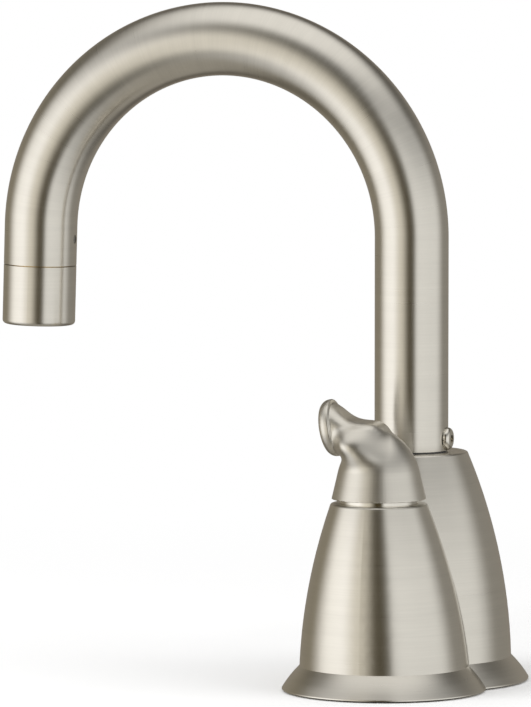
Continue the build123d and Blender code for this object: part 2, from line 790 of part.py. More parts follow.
# Grub screw that pins the insert, sunk in its hole
with BuildPart() as outlet_grub_screw:
    with BuildSketch(outlet_grub_plane.offset(tube_r - outlet_grub_recess)):
        Circle(outlet_grub_r)
    extrude(amount=-outlet_grub_length)
    with BuildSketch(outlet_grub_plane.offset(tube_r - outlet_grub_recess)):
        RegularPolygon(outlet_key_across_flats / 2, 6, major_radius=False)
    extrude(amount=-outlet_key_depth, mode=Mode.SUBTRACT)
outlet_grub_screw.part.label = "outlet_grub_screw"
export_step(outlet_grub_screw.part, "parts/outlet_grub_screw.step")

# Screw-on sleeve at the outlet, a hair clear of the tube's end
with BuildPart() as outlet_sleeve:
    with BuildSketch(leg_plane.offset(sleeve_top)):
        Circle(tube_r)
    extrude(amount=sleeve_length)
    fillet(outlet_sleeve.edges().filter_by(GeomType.CIRCLE).sort_by(Axis.Z)[0], sleeve_foot_round)
    with BuildSketch(leg_plane.offset(sleeve_top)):
        Circle(carrier_neck_r)
    extrude(amount=sleeve_length - sleeve_lip_height, mode=Mode.SUBTRACT)
    with BuildSketch(leg_plane.offset(straightener_foot)):
        Circle(sleeve_mouth_r)
    extrude(amount=sleeve_lip_height, mode=Mode.SUBTRACT)
    foot_circles = outlet_sleeve.edges().filter_by(GeomType.CIRCLE).group_by(Axis.Z)[0]
    fillet(foot_circles.sort_by(SortBy.LENGTH)[0], sleeve_mouth_round)
outlet_sleeve.part.label = "outlet_sleeve"
export_step(outlet_sleeve.part, "parts/outlet_sleeve.step")

# What the sleeve holds: rubber washer, perforated screen and flow straightener
with BuildPart() as outlet_washer:
    with BuildSketch(leg_plane.offset(carrier_foot)):
        Circle(carrier_neck_r)
        Circle(washer_bore_r, mode=Mode.SUBTRACT)
    extrude(amount=washer_thickness)
outlet_washer.part.label = "outlet_washer"
export_step(outlet_washer.part, "parts/outlet_washer.step")

with BuildPart() as outlet_screen:
    with BuildSketch(leg_plane.offset(screen_top)):
        Circle(carrier_neck_r)
        with Locations(*hexagonal_field(screen_pitch, screen_field_r)):
            Circle(screen_hole_r, mode=Mode.SUBTRACT)
    extrude(amount=screen_thickness)
outlet_screen.part.label = "outlet_screen"
export_step(outlet_screen.part, "parts/outlet_screen.step")

with BuildPart() as flow_straightener:
    with BuildSketch(leg_plane.offset(straightener_top)):
        Circle(carrier_neck_r)
        with Locations(*hexagonal_field(straightener_pitch, straightener_field_r)):
            Circle(straightener_hole_r, mode=Mode.SUBTRACT)
    extrude(amount=straightener_foot - straightener_top)
flow_straightener.part.label = "flow_straightener"
export_step(flow_straightener.part, "parts/flow_straightener.step")

# Body of the headwork, screwed into the valve block
with BuildPart() as cartridge_housing:
    housing_base_z = cartridge_seat_z + housing_gap
    with BuildSketch(Plane.XY.offset(housing_base_z)):
        with Locations((lever_x, 0)):
            Circle(cartridge_bore_r)
    extrude(amount=cartridge_boss_top_z - housing_base_z)
    with BuildSketch(Plane.XY.offset(cartridge_boss_top_z)):
        with Locations((lever_x, 0)):
            RegularPolygon(housing_hex_across_flats / 2, 6, major_radius=False)
    extrude(amount=housing_hex_height)
    with BuildSketch(Plane.XY.offset(cartridge_boss_top_z)):
        with Locations((lever_x, 0)):
            Circle(housing_upper_r)
    extrude(amount=collar_top_z - cartridge_boss_top_z)
    with BuildSketch(Plane.XY.offset(collar_top_z)):
        with Locations((lever_x, 0)):
            Circle(housing_neck_r)
    extrude(amount=housing_neck_top_z - collar_top_z)
    with BuildSketch(Plane.XY.offset(housing_base_z)):
        with Locations((lever_x, 0)):
            Circle(disc_r)
    extrude(amount=housing_cavity_top_z - housing_base_z, mode=Mode.SUBTRACT)
    with BuildSketch(Plane.XY.offset(housing_cavity_top_z)):
        with Locations((lever_x, 0)):
            Circle(stem_r + running_fit)
    extrude(amount=housing_neck_top_z - housing_cavity_top_z, mode=Mode.SUBTRACT)
    with Locations((lever_x, 0, (chamber_base_z + chamber_top_z) / 2)):
        Box(2 * chamber_r, window_width, window_height, mode=Mode.SUBTRACT)
cartridge_housing.part.label = "cartridge_housing"
export_step(cartridge_housing.part, "parts/cartridge_housing.step")

# Rubber seat ring under the fixed disc
with BuildPart() as cartridge_seal:
    with BuildSketch(Plane.XY.offset(cartridge_seat_z)):
        with Locations((lever_x, 0)):
            Circle(disc_r)
            Circle(seal_bore_r, mode=Mode.SUBTRACT)
    extrude(amount=seal_thickness)
cartridge_seal.part.label = "cartridge_seal"
export_step(cartridge_seal.part, "parts/cartridge_seal.step")

# Two ceramic discs: at rest their ports stand a quarter turn apart, so the valve is shut
with BuildPart() as ceramic_disc_fixed:
    with BuildSketch(Plane.XY.offset(fixed_disc_z)):
        with Locations((lever_x, 0)):
            Circle(disc_r)
        with Locations((lever_x + disc_port_offset, 0), (lever_x - disc_port_offset, 0)):
            Circle(disc_port_r, mode=Mode.SUBTRACT)
    extrude(amount=disc_thickness)
ceramic_disc_fixed.part.label = "ceramic_disc_fixed"
export_step(ceramic_disc_fixed.part, "parts/ceramic_disc_fixed.step")

with BuildPart() as ceramic_disc_turning:
    with BuildSketch(Plane.XY.offset(turning_disc_z)):
        with Locations((lever_x, 0)):
            Circle(disc_r - disc_play)
        with Locations((lever_x, disc_port_offset), (lever_x, -disc_port_offset)):
            Circle(disc_port_r, mode=Mode.SUBTRACT)
    extrude(amount=disc_thickness)
ceramic_disc_turning.part.label = "ceramic_disc_turning"
export_step(ceramic_disc_turning.part, "parts/ceramic_disc_turning.step")

# Spindle: a cross bar that drives the turning disc, a round shaft and a square for the lever
with BuildPart() as cartridge_stem:
    with BuildSketch(Plane.XY.offset(stem_bar_z)):
        with Locations((lever_x, 0)):
            Rectangle(stem_bar_length, stem_bar_width)
    extrude(amount=stem_bar_height)
    with BuildSketch(Plane.XY.offset(stem_bar_z + stem_bar_height)):
        with Locations((lever_x, 0)):
            Circle(stem_r)
    extrude(amount=spring_bore_top_z - stem_bar_z - stem_bar_height)
    with BuildSketch(Plane.XY.offset(spring_bore_top_z)):
        with Locations((lever_x, 0)):
            Rectangle(stem_square, stem_square)
    extrude(amount=stem_top_z - spring_bore_top_z)
cartridge_stem.part.label = "cartridge_stem"
export_step(cartridge_stem.part, "parts/cartridge_stem.step")

# Jam nut that holds the casting up against the collar
with BuildPart() as bonnet_nut:
    with BuildSketch(Plane.XY.offset(lever_cavity_top_z - bonnet_nut_height)):
        with Locations((lever_x, 0)):
            RegularPolygon(housing_hex_across_flats / 2, 6, major_radius=False)
            Circle(housing_upper_r, mode=Mode.SUBTRACT)
    extrude(amount=bonnet_nut_height)
bonnet_nut.part.label = "bonnet_nut"
export_step(bonnet_nut.part, "parts/bonnet_nut.step")

# Polished collar in the gap under the lever
with BuildPart() as trim_collar:
    with BuildSketch(Plane.XY.offset(lever_top_z)):
        with Locations((lever_x, 0)):
            Circle(collar_r)
    extrude(amount=collar_top_z - lever_top_z)
    fillet(trim_collar.edges().filter_by(GeomType.CIRCLE).sort_by(Axis.Z)[-1], collar_round)
    with BuildSketch(Plane.XY.offset(lever_cavity_top_z)):
        with Locations((lever_x, 0)):
            Circle(collar_spigot_r)
    extrude(amount=shell_wall)
    with BuildSketch(Plane.XY.offset(lever_cavity_top_z)):
        with Locations((lever_x, 0)):
            Circle(housing_upper_r)
    extrude(amount=collar_top_z - lever_cavity_top_z, mode=Mode.SUBTRACT)
trim_collar.part.label = "trim_collar"
export_step(trim_collar.part, "parts/trim_collar.step")

# Torsion spring round the headwork's neck
with BuildPart() as return_spring:
    with BuildLine() as spring_path:
        Helix(spring_pitch, spring_pitch * spring_turns, spring_coil_r, center=(lever_x, 0, spring_base_z))
    spring_wire = spring_path.edge()
    with BuildSketch(Plane(origin=spring_wire @ 0, z_dir=spring_wire % 0)):
        Circle(spring_wire_r)
    sweep(path=spring_path.wire(), is_frenet=True)
return_spring.part.label = "return_spring"
export_step(return_spring.part, "parts/return_spring.step")

# Lever handle
with BuildPart() as lever_handle:
    # Round paddle with a rounded rim, leaning forward
    with BuildSketch(paddle_plane.offset(-paddle_thickness / 2)):
        Circle(paddle_r)
    extrude(amount=paddle_thickness)
    fillet(lever_handle.edges().sort_by(Axis.Y)[0], paddle_front_round)
    fillet(lever_handle.edges().sort_by(Axis.Y)[-1], paddle_back_round)

    # Conical hub with a domed top
    with BuildSketch(Plane.XZ):
        with BuildLine():
            shoulder = (lever_x + cone_top_r, cone_top_z)
            skirt = (lever_x + handle_base_r, handle_base_z)
            Polyline((lever_x, dome_top_z), (lever_x, handle_base_z), skirt, shoulder)
            SagittaArc(shoulder, (lever_x, dome_top_z), -dome_bow)
        make_face()
    revolve(axis=lever_axis)

    # Broad arm from inside the hub to the back of the paddle, with a round seam under it
    for reach_share, width_share, bottom_share, top_share in arm_station_shares:
        station_half_width = paddle_r * width_share
        station_height = paddle_r * (top_share - bottom_share)
        station_z = paddle_centre_z + paddle_r * (bottom_share + top_share) / 2
        station_spot = (lever_x, -arm_reach * reach_share, station_z)
        corner_r = arm_corner_share * min(station_half_width, station_height / 2)
        with BuildSketch(Plane(origin=station_spot, x_dir=(1, 0, 0), z_dir=(0, -1, 0))):
            RectangleRounded(2 * station_half_width, station_height, corner_r)
    with BuildSketch(paddle_plane.offset(-paddle_thickness / 2 + free_gap)):
        RectangleRounded(2 * paddle_back_r, 2 * paddle_back_r, paddle_back_r - running_fit)
    loft()
    seam_boxes = [(edge, edge.bounding_box()) for edge in lever_handle.edges(Select.NEW)]
    hub_seam = [edge for edge, box in seam_boxes if box.min.Y > -paddle_back_edge]
    fillet([edge for edge in hub_seam if edge.bounding_box().max.Z < arm_blend_top_z], arm_blend_r)

    # Bores for the collar, the spring and the spindle
    with BuildSketch(Plane.XY.offset(handle_base_z)):
        with Locations((lever_x, 0)):
            Circle(skirt_bore_r)
    extrude(amount=skirt_bore_top_z - handle_base_z, mode=Mode.SUBTRACT)
    with BuildSketch(Plane.XY.offset(handle_base_z)):
        with Locations((lever_x, 0)):
            Circle(spring_bore_r)
    extrude(amount=spring_bore_top_z - handle_base_z, mode=Mode.SUBTRACT)
    with BuildSketch(Plane.XY.offset(spring_bore_top_z)):
        with Locations((lever_x, 0)):
            Rectangle(stem_square, stem_square)
    extrude(amount=stem_top_z - spring_bore_top_z, mode=Mode.SUBTRACT)
    grub_plane = Plane(origin=(lever_x, -stem_square / 2, handle_grub_z), x_dir=(1, 0, 0), z_dir=(0, -1, 0))
    with BuildSketch(grub_plane):
        Circle(handle_grub_r)
    extrude(amount=handle_base_r, mode=Mode.SUBTRACT)
lever_handle.part.label = "lever_handle"
export_step(lever_handle.part, "parts/lever_handle.step")

# Grub screw that holds the lever on the spindle
with BuildPart() as handle_grub_screw:
    with BuildSketch(grub_plane):
        Circle(handle_grub_r)
    extrude(amount=handle_grub_length)
    with BuildSketch(grub_plane.offset(handle_grub_length)):
        RegularPolygon(handle_key_across_flats / 2, 6, major_radius=False)
    extrude(amount=-handle_key_depth, mode=Mode.SUBTRACT)
handle_grub_screw.part.label = "handle_grub_screw"
export_step(handle_grub_screw.part, "parts/handle_grub_screw.step")
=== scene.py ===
# %% [markdown]
# # An instant hot water tap in satin nickel
# The tap is a tall gooseneck spout on a bell-shaped casting, with a smaller bell beside it that
# carries a turning lever. Most pieces come from the CAD frame as they are, already in their right
# places. This lesson adds what the frame lacks: the finishes, the soft hollow of the handle, the
# stud's thread, a finer gooseneck, the light and the camera.

import json
from math import atan, cos, degrees, pi, radians, sin

import bmesh
import bpy
import numpy as np
from mathutils import Matrix, Vector
from mathutils.kdtree import KDTree


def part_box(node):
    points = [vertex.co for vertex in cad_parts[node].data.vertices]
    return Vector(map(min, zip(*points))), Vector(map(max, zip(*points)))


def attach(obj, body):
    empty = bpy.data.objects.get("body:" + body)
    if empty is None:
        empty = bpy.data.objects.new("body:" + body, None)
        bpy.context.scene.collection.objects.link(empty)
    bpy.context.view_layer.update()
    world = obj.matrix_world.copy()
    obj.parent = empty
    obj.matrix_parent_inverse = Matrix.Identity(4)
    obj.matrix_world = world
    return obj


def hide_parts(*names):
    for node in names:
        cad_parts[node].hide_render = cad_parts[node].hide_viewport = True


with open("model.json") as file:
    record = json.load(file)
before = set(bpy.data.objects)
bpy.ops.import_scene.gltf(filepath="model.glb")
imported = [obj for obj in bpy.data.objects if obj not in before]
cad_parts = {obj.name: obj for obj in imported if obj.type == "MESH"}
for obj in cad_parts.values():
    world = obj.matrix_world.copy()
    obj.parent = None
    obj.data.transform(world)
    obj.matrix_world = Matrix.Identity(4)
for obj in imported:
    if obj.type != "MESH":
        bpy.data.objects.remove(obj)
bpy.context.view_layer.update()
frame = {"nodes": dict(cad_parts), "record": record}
cad_nodes = frame["nodes"]
scene = bpy.context.scene
print("pieces in the frame:", len(cad_nodes))

# %% [markdown]
# ## The camera
# The picture was taken from the lever's side, a little from behind, with a long lens, so that the
# column stands upright and hardly narrows. A camera is placed by its distance and height, and then
# turned until the foot of the column falls on the right pixel. The distance, the height and the
# bearing are estimates from the outline, since the photo doesn't tell them.

# %% Place the camera
PHOTO_WIDTH, PHOTO_HEIGHT = 531, 707
SENSOR_MILLIMETRES = 36.0
FOCAL_PIXELS = 6667.0
CAMERA_AZIMUTH = 106.5
CAMERA_DISTANCE = 2.25
CAMERA_HEIGHT = 0.293
NEAREST_SEEN, FARTHEST_SEEN = 0.05, 50.0
COLUMN_PIXEL_X = 412.0
BASE_PIXEL_Y = 678.2


def photo_camera():
    """Camera that looks at the tap as the photographer did."""
    data = bpy.data.cameras.new("photo_camera")
    data.sensor_width = SENSOR_MILLIMETRES
    data.lens = FOCAL_PIXELS / PHOTO_HEIGHT * data.sensor_width
    data.clip_start, data.clip_end = NEAREST_SEEN, FARTHEST_SEEN
    camera = bpy.data.objects.new("photo_camera", data)
    scene.collection.objects.link(camera)
    azimuth = radians(CAMERA_AZIMUTH)
    camera.location = (CAMERA_DISTANCE * sin(azimuth), -CAMERA_DISTANCE * cos(azimuth), CAMERA_HEIGHT)
    turn = atan((COLUMN_PIXEL_X - PHOTO_WIDTH / 2) / FOCAL_PIXELS)
    below = atan((BASE_PIXEL_Y - PHOTO_HEIGHT / 2) / FOCAL_PIXELS)
    pitch = atan(CAMERA_HEIGHT / CAMERA_DISTANCE) - below
    camera.rotation_euler = (pi / 2 - pitch, 0, azimuth + turn)
    scene.camera = camera
    print("camera pitch", round(degrees(pitch), 2), "lens", round(data.lens, 1))


photo_camera()
scene.view_settings.view_transform = "Standard"

# %% [markdown]
# ## Node helpers
# Materials are built from nodes. These helpers add a node, set its sockets and join it up, so that
# each material below reads as a short recipe.

# %% Node helpers


def add_node(tree, kind, **settings):
    """New node in a tree, with its attributes set."""
    node = tree.nodes.new(kind)
    for name, value in settings.items():
        setattr(node, name, value)
    return node


def feed(tree, socket, source):
    """Join a socket to another node's socket, or give it a plain value."""
    if isinstance(source, bpy.types.NodeSocket):
        tree.links.new(source, socket)
    else:
        socket.default_value = source


def math_node(tree, operation, *values):
    """Math node on one to three numbers or sockets."""
    node = add_node(tree, "ShaderNodeMath", operation=operation)
    for socket, value in zip(node.inputs, values):
        feed(tree, socket, value)
    return node.outputs[0]


def vector_of(tree, x, y, z):
    """Vector joined from three numbers or sockets."""
    node = add_node(tree, "ShaderNodeCombineXYZ")
    for socket, value in zip(node.inputs, (x, y, z)):
        feed(tree, socket, value)
    return node.outputs[0]


def noise_at(tree, place, scale, detail):
    """Noise from 0 to 1 at a place."""
    noise = add_node(tree, "ShaderNodeTexNoise")
    feed(tree, noise.inputs["Vector"], place)
    noise.inputs["Scale"].default_value = scale
    noise.inputs["Detail"].default_value = detail
    return noise.outputs["Fac"]


# %% [markdown]
# ## Brushed grain
# Satin nickel is brushed round the piece with a fine belt, which leaves thousands of thin rings.
# They are too small to model, so a noise is stretched until it makes rings: it changes fast along
# the piece and slowly round it. One node group makes the rings for every brushed or turned piece.

# %% Brushed grain group
GRAIN_INPUTS = (("Place", None), ("Rings", 2600.0), ("Drift", 30.0), ("Roughness", 0.3),
                ("Roughness Spread", 0.06), ("Tone Spread", 0.11))
GRAIN_OUTPUTS = ("Height", "Roughness", "Tone")
NOISE_MIDDLE = 0.5
RING_DETAIL = 3.0
BROAD_SQUEEZE = 12.0
BROAD_SCALE = 28.0
BROAD_DETAIL = 2.0


def new_group(name, inputs, outputs):
    """Shader node group with named sockets: floats, or a vector where there is no default."""
    group = bpy.data.node_groups.new(name, "ShaderNodeTree")
    for label, default in inputs:
        kind = "NodeSocketVector" if default is None else "NodeSocketFloat"
        socket = group.interface.new_socket(label, in_out="INPUT", socket_type=kind)
        if default is not None:
            socket.default_value = default
    for label in outputs:
        group.interface.new_socket(label, in_out="OUTPUT", socket_type="NodeSocketFloat")
    return group, add_node(group, "NodeGroupInput"), add_node(group, "NodeGroupOutput")


def make_grain_group():
    """Fine rings: their height, and how they change roughness and tone."""
    group, given, result = new_group("brushed_grain", GRAIN_INPUTS, GRAIN_OUTPUTS)
    parts = add_node(group, "ShaderNodeSeparateXYZ")
    feed(group, parts.inputs[0], given.outputs["Place"])
    side, depth, along = parts.outputs
    drift = given.outputs["Drift"]
    fine_place = vector_of(group, math_node(group, "MULTIPLY", side, drift),
                           math_node(group, "MULTIPLY", depth, drift),
                           math_node(group, "MULTIPLY", along, given.outputs["Rings"]))
    fine = noise_at(group, fine_place, 1.0, RING_DETAIL)
    broad_place = vector_of(group, side, depth, math_node(group, "MULTIPLY", along, BROAD_SQUEEZE))
    broad = noise_at(group, broad_place, BROAD_SCALE, BROAD_DETAIL)
    ring_swing = math_node(group, "SUBTRACT", fine, NOISE_MIDDLE)
    broad_swing = math_node(group, "SUBTRACT", broad, NOISE_MIDDLE)
    rough = math_node(group, "MULTIPLY_ADD", ring_swing, given.outputs["Roughness Spread"],
                      given.outputs["Roughness"])
    tone = math_node(group, "MULTIPLY_ADD", math_node(group, "ADD", ring_swing, broad_swing),
                     given.outputs["Tone Spread"], 1.0)
    for label, value in zip(GRAIN_OUTPUTS, (fine, rough, tone)):
        feed(group, result.inputs[label], value)
    return group


grain_group = make_grain_group()
print("node group:", grain_group.name)

# %% [markdown]
# ## Metal recipes
# A metal has no body colour, only a tinted mirror. The rings of the brushing spread its highlights
# along the piece but leave them crisp across it, which is why the tube shows clear upright bands of
# light and dark. The anisotropic socket does this, with a tangent that points along the piece.

# %% Metal recipes
GRAIN_DEPTH = 0.00002
ROUGHNESS_SPREAD_SHARE = 0.25


def new_material(name):
    """Node material with a plain Principled shader on its output."""
    material = bpy.data.materials.new(name)
    material.use_nodes = True
    tree = material.node_tree
    return material, tree, tree.nodes["Principled BSDF"]


def object_place(tree):
    """Object coordinates, as a socket."""
    return add_node(tree, "ShaderNodeTexCoord").outputs["Object"]


def toned(tree, colour, tone):
    """A colour made a little lighter or darker by a tone near 1."""
    node = add_node(tree, "ShaderNodeVectorMath", operation="SCALE")
    node.inputs[0].default_value = colour
    feed(tree, node.inputs["Scale"], tone)
    return node.outputs[0]


def add_relief(tree, shader, height, strength, depth):
    """Bump on a shader's surface, from a height between 0 and 1."""
    relief = add_node(tree, "ShaderNodeBump")
    relief.inputs["Strength"].default_value = strength
    relief.inputs["Distance"].default_value = depth
    feed(tree, relief.inputs["Height"], height)
    feed(tree, shader.inputs["Normal"], relief.outputs["Normal"])


def grained_metal(name, colour, place_of, tangent_of, roughness, rings, bump, anisotropic):
    """Metal with the grain group, along a place and a tangent worked out by two functions."""
    material, tree, shader = new_material(name)
    grain = add_node(tree, "ShaderNodeGroup", node_tree=grain_group)
    feed(tree, grain.inputs["Place"], place_of(tree))
    grain.inputs["Rings"].default_value = rings
    grain.inputs["Roughness"].default_value = roughness
    grain.inputs["Roughness Spread"].default_value = roughness * ROUGHNESS_SPREAD_SHARE
    feed(tree, shader.inputs["Base Color"], toned(tree, colour, grain.outputs["Tone"]))
    feed(tree, shader.inputs["Roughness"], grain.outputs["Roughness"])
    shader.inputs["Metallic"].default_value = 1.0
    shader.inputs["Anisotropic"].default_value = anisotropic
    feed(tree, shader.inputs["Tangent"], tangent_of(tree))
    add_relief(tree, shader, grain.outputs["Height"], bump, GRAIN_DEPTH)
    return material


def upright_tangent(tree):
    """Straight up: right for every piece turned about an upright axis."""
    return vector_of(tree, 0.0, 0.0, 1.0)


def turned_metal(name, colour, roughness, rings, bump, anisotropic=0.0):
    """Metal whose rings lie level, round an upright axis."""
    return grained_metal(name, colour, object_place, upright_tangent, roughness, rings, bump, anisotropic)


# %% [markdown]
# The gooseneck's rings lie square to the tube, so they follow the bend. A little geometry in the
# material finds how far along the tube a point lies: upright in the column, then by the angle
# round the centre of the bend, and down again in the leg.

# %% Place along the gooseneck
BEND_RADIUS = 0.0665
BEND_HEIGHT = 0.1501


def gooseneck_parts(tree):
    """How far a point is to the side, outwards of the bend's centre, and above it."""
    parts = add_node(tree, "ShaderNodeSeparateXYZ")
    feed(tree, parts.inputs[0], object_place(tree))
    out = math_node(tree, "ADD", parts.outputs[1], BEND_RADIUS)
    above = math_node(tree, "SUBTRACT", parts.outputs[2], BEND_HEIGHT)
    return parts.outputs[0], out, above


def gooseneck_place(tree):
    """Side, distance from the tube's axis in the bend's plane, and length along the tube."""
    side, out, above = gooseneck_parts(tree)
    up = math_node(tree, "MAXIMUM", above, 0.0)
    down = math_node(tree, "MINIMUM", above, 0.0)
    angle = math_node(tree, "ARCTAN2", up, out)
    straight = math_node(tree, "MULTIPLY", math_node(tree, "SIGN", out), down)
    along = math_node(tree, "MULTIPLY_ADD", angle, BEND_RADIUS, straight)
    reach = math_node(tree, "SQRT", math_node(tree, "ADD", math_node(tree, "MULTIPLY", up, up),
                                              math_node(tree, "MULTIPLY", out, out)))
    return vector_of(tree, side, math_node(tree, "SUBTRACT", reach, BEND_RADIUS), along)


def gooseneck_tangent(tree):
    """Direction of the tube's run: square to the spoke from the bend's centre."""
    out, above = gooseneck_parts(tree)[1:]
    up = math_node(tree, "MAXIMUM", above, 0.0)
    return vector_of(tree, 0.0, math_node(tree, "MULTIPLY", up, -1.0), out)


print("bend radius and height:", BEND_RADIUS, BEND_HEIGHT)

# %% [markdown]
# ## Finishes of metal
# The tap's outside is satin nickel, a grey with a warm trace. The collar under the lever and the
# screw at the spout's foot have the same plating, polished. The water ways are turned brass, the
# clamp and the inner screws are zinc-plated steel, and the stubs are drawn copper. Each is the same
# recipe with other numbers, so the finishes stay alike in kind. Rings are counted in a metre.

# %% Finishes of metal
NICKEL = (0.74, 0.71, 0.645)
BRASS = (0.72, 0.53, 0.26)
STEEL = (0.62, 0.63, 0.64)
COPPER = (0.72, 0.40, 0.26)
SATIN = {"roughness": 0.29, "rings": 1700, "bump": 0.14, "anisotropic": 0.7}

satin_upright = turned_metal("satin_nickel", NICKEL, **SATIN)
satin_gooseneck = grained_metal("satin_nickel_gooseneck", NICKEL, gooseneck_place, gooseneck_tangent, **SATIN)
polished_nickel = turned_metal("polished_nickel", NICKEL, roughness=0.08, rings=900, bump=0.02)
satin_handle = turned_metal("satin_nickel_handle", NICKEL, roughness=0.34, rings=1700, bump=0.02,
                            anisotropic=0.2)
turned_brass = turned_metal("turned_brass", BRASS, roughness=0.3, rings=1800, bump=0.2, anisotropic=0.5)
zinc_steel = turned_metal("zinc_steel", STEEL, roughness=0.38, rings=500, bump=0.1)
drawn_copper = turned_metal("drawn_copper", COPPER, roughness=0.28, rings=300, bump=0.08, anisotropic=0.3)
print("materials so far:", len(bpy.data.materials))

# %% [markdown]
# ## Rubber, plastic and ceramic
# Rubber and moulded plastic scatter light under a dull skin. A small noise makes their roughness
# and height uneven, as a mould leaves them. The ceramic discs are lapped, so they are smooth.

# %% Finishes that aren't metal
BLACK = (0.03, 0.03, 0.032)
WHITE = (0.82, 0.82, 0.80)
DARK_GREY = (0.05, 0.05, 0.052)
CREAM = (0.84, 0.82, 0.76)
SKIN_DETAIL = 4.0
SKIN_TONE_SPREAD = 0.12
SKIN_ROUGHNESS_SPREAD = 0.15
SKIN_DEPTH = 0.0001


def moulded(name, colour, roughness, grain, bump, specular=0.5):
    """Dull material with the fine uneven skin that a mould leaves."""
    material, tree, shader = new_material(name)
    skin = noise_at(tree, object_place(tree), grain, SKIN_DETAIL)
    swing = math_node(tree, "SUBTRACT", skin, NOISE_MIDDLE)
    tone = math_node(tree, "MULTIPLY_ADD", swing, SKIN_TONE_SPREAD, 1.0)
    feed(tree, shader.inputs["Base Color"], toned(tree, colour, tone))
    rough = math_node(tree, "MULTIPLY_ADD", swing, SKIN_ROUGHNESS_SPREAD, roughness)
    feed(tree, shader.inputs["Roughness"], rough)
    shader.inputs["Specular IOR Level"].default_value = specular
    add_relief(tree, shader, skin, bump, SKIN_DEPTH)
    return material


black_rubber = moulded("black_rubber", BLACK, roughness=0.75, grain=900.0, bump=0.4, specular=0.3)
white_plastic = moulded("white_plastic", WHITE, roughness=0.45, grain=500.0, bump=0.15)
dark_plastic = moulded("dark_plastic", DARK_GREY, roughness=0.5, grain=600.0, bump=0.2)
valve_ceramic = moulded("valve_ceramic", CREAM, roughness=0.18, grain=300.0, bump=0.05)
print("materials so far:", len(bpy.data.materials))

# %% [markdown]
# ## Finishes on the frame's pieces
# The frame's record names what each piece is made of, in a material slot. A table turns the slot
# into a finish. The finish is linked to the object and not to its mesh, because the frame's meshes
# have to stay as they are.

# %% Put the finishes on the frame
FINISH_OF_SLOT = {
    "satin_nickel": satin_upright,
    "polished_nickel": polished_nickel,
    "brass": turned_brass,
    "steel": zinc_steel,
    "copper": drawn_copper,
    "rubber": black_rubber,
    "white_plastic": white_plastic,
    "dark_plastic": dark_plastic,
    "ceramic": valve_ceramic,
}
slot_of_node = {row["node"]: row["material_slot"] for row in frame["record"]["subparts"]}


def finish_node(node, material):
    """Give every material slot of a CAD node one finish, without touching its mesh."""
    for slot in node.material_slots:
        slot.link = "OBJECT"
        slot.material = material


for node_name, node in cad_nodes.items():
    finish_node(node, FINISH_OF_SLOT[slot_of_node[node_name]])
print("slots with a finish:", len(FINISH_OF_SLOT))

# %% [markdown]
# ## The lever handle
# The real handle is one casting: its broad arm flows out of the conical hub with a soft hollow
# where they meet. The CAD solid has a slimmer arm, and a sharp seam, because its fillets fail on
# that seam. Mesh tools can do what a fillet can't. First a copy of the solid is remeshed into even
# small squares and laid back on the solid's surface, so that it can be bent like clay.

# %% A copy of a piece in even squares
HANDLE_VOXEL = 0.00036
SAME_PLACE = 0.000001


def plain_mesh_of(piece, name):
    """Mesh of a piece with its modifiers applied, in a new object with none."""
    depsgraph = bpy.context.evaluated_depsgraph_get()
    mesh = bpy.data.meshes.new_from_object(piece.evaluated_get(depsgraph))
    mesh.name = name
    finished = bpy.data.objects.new(name, mesh)
    scene.collection.objects.link(finished)
    bpy.data.objects.remove(piece)
    return finished


def even_copy(node, name, voxel):
    """Copy of a CAD node in even squares, laid on the node's own surface."""
    mesh = node.data.copy()
    shape = bmesh.new()
    shape.from_mesh(mesh)
    bmesh.ops.remove_doubles(shape, verts=shape.verts, dist=SAME_PLACE)
    shape.to_mesh(mesh)
    shape.free()
    mesh.materials.clear()
    rough = bpy.data.objects.new(name + "_rough", mesh)
    scene.collection.objects.link(rough)
    remesh = rough.modifiers.new("even", "REMESH")
    remesh.mode = "VOXEL"
    remesh.voxel_size = voxel
    wrap = rough.modifiers.new("lay", "SHRINKWRAP")
    wrap.target = node
    wrap.wrap_method = "NEAREST_SURFACEPOINT"
    return plain_mesh_of(rough, name)


handle = even_copy(cad_nodes["lever_handle"], "lever_handle_blended", HANDLE_VOXEL)
print("handle faces:", len(handle.data.polygons))

# %% [markdown]
# The seam is found by measuring and not by hand: an edge is hollow where its two faces lean towards
# each other. Only the hollow between the arm and the hub counts, so edges further down, out on the
# paddle and in the spindle's hole are passed over.

# %% Find the hollow seam
SEAM_ANGLE = radians(-14)
SEAM_BASE_HEIGHT = 0.0778
SEAM_FRONT_Y = -0.0118
LEVER_AXIS_X = 0.038
SPINDLE_HOLE = 0.0046
SPINDLE_TOP = 0.0845


def hollow_seam(mesh):
    """Points of the sharp hollow between the arm and the hub."""
    shape = bmesh.new()
    shape.from_mesh(mesh)
    spots = []
    for edge in shape.edges:
        middle = (edge.verts[0].co + edge.verts[1].co) / 2
        off_axis = Vector((middle.x - LEVER_AXIS_X, middle.y)).length
        inside_hole = off_axis < SPINDLE_HOLE and middle.z < SPINDLE_TOP
        if middle.z < SEAM_BASE_HEIGHT or middle.y < SEAM_FRONT_Y or inside_hole:
            continue
        if edge.calc_face_angle_signed(0.0) < SEAM_ANGLE:
            spots.append(middle)
    shape.free()
    return spots


seam_spots = hollow_seam(handle.data)
print("seam points:", len(seam_spots))

# %% [markdown]
# The arm's two sides are pushed out where it leaves the hub, most at one height and reach, and less
# all round it. A ramp keeps the paddle in front as it is, because its outline already follows the
# photo.

# %% Broaden the arm
WIDENING = 0.0058
WIDENED_Y = -0.0068
WIDENED_REACH = 0.0140
WIDENED_HEIGHT = 0.0826
WIDENED_RISE = 0.0076
ARM_CORE = 0.0045
ARM_CORE_RAMP = 0.002
BLEND_FRONT_Y = -0.0140
BLEND_FULL_Y = -0.009


def off_the_paddle(places):
    """From 0 out on the paddle to 1 near the hub."""
    return np.clip((places[:, 1] - BLEND_FRONT_Y) / (BLEND_FULL_Y - BLEND_FRONT_Y), 0, 1)


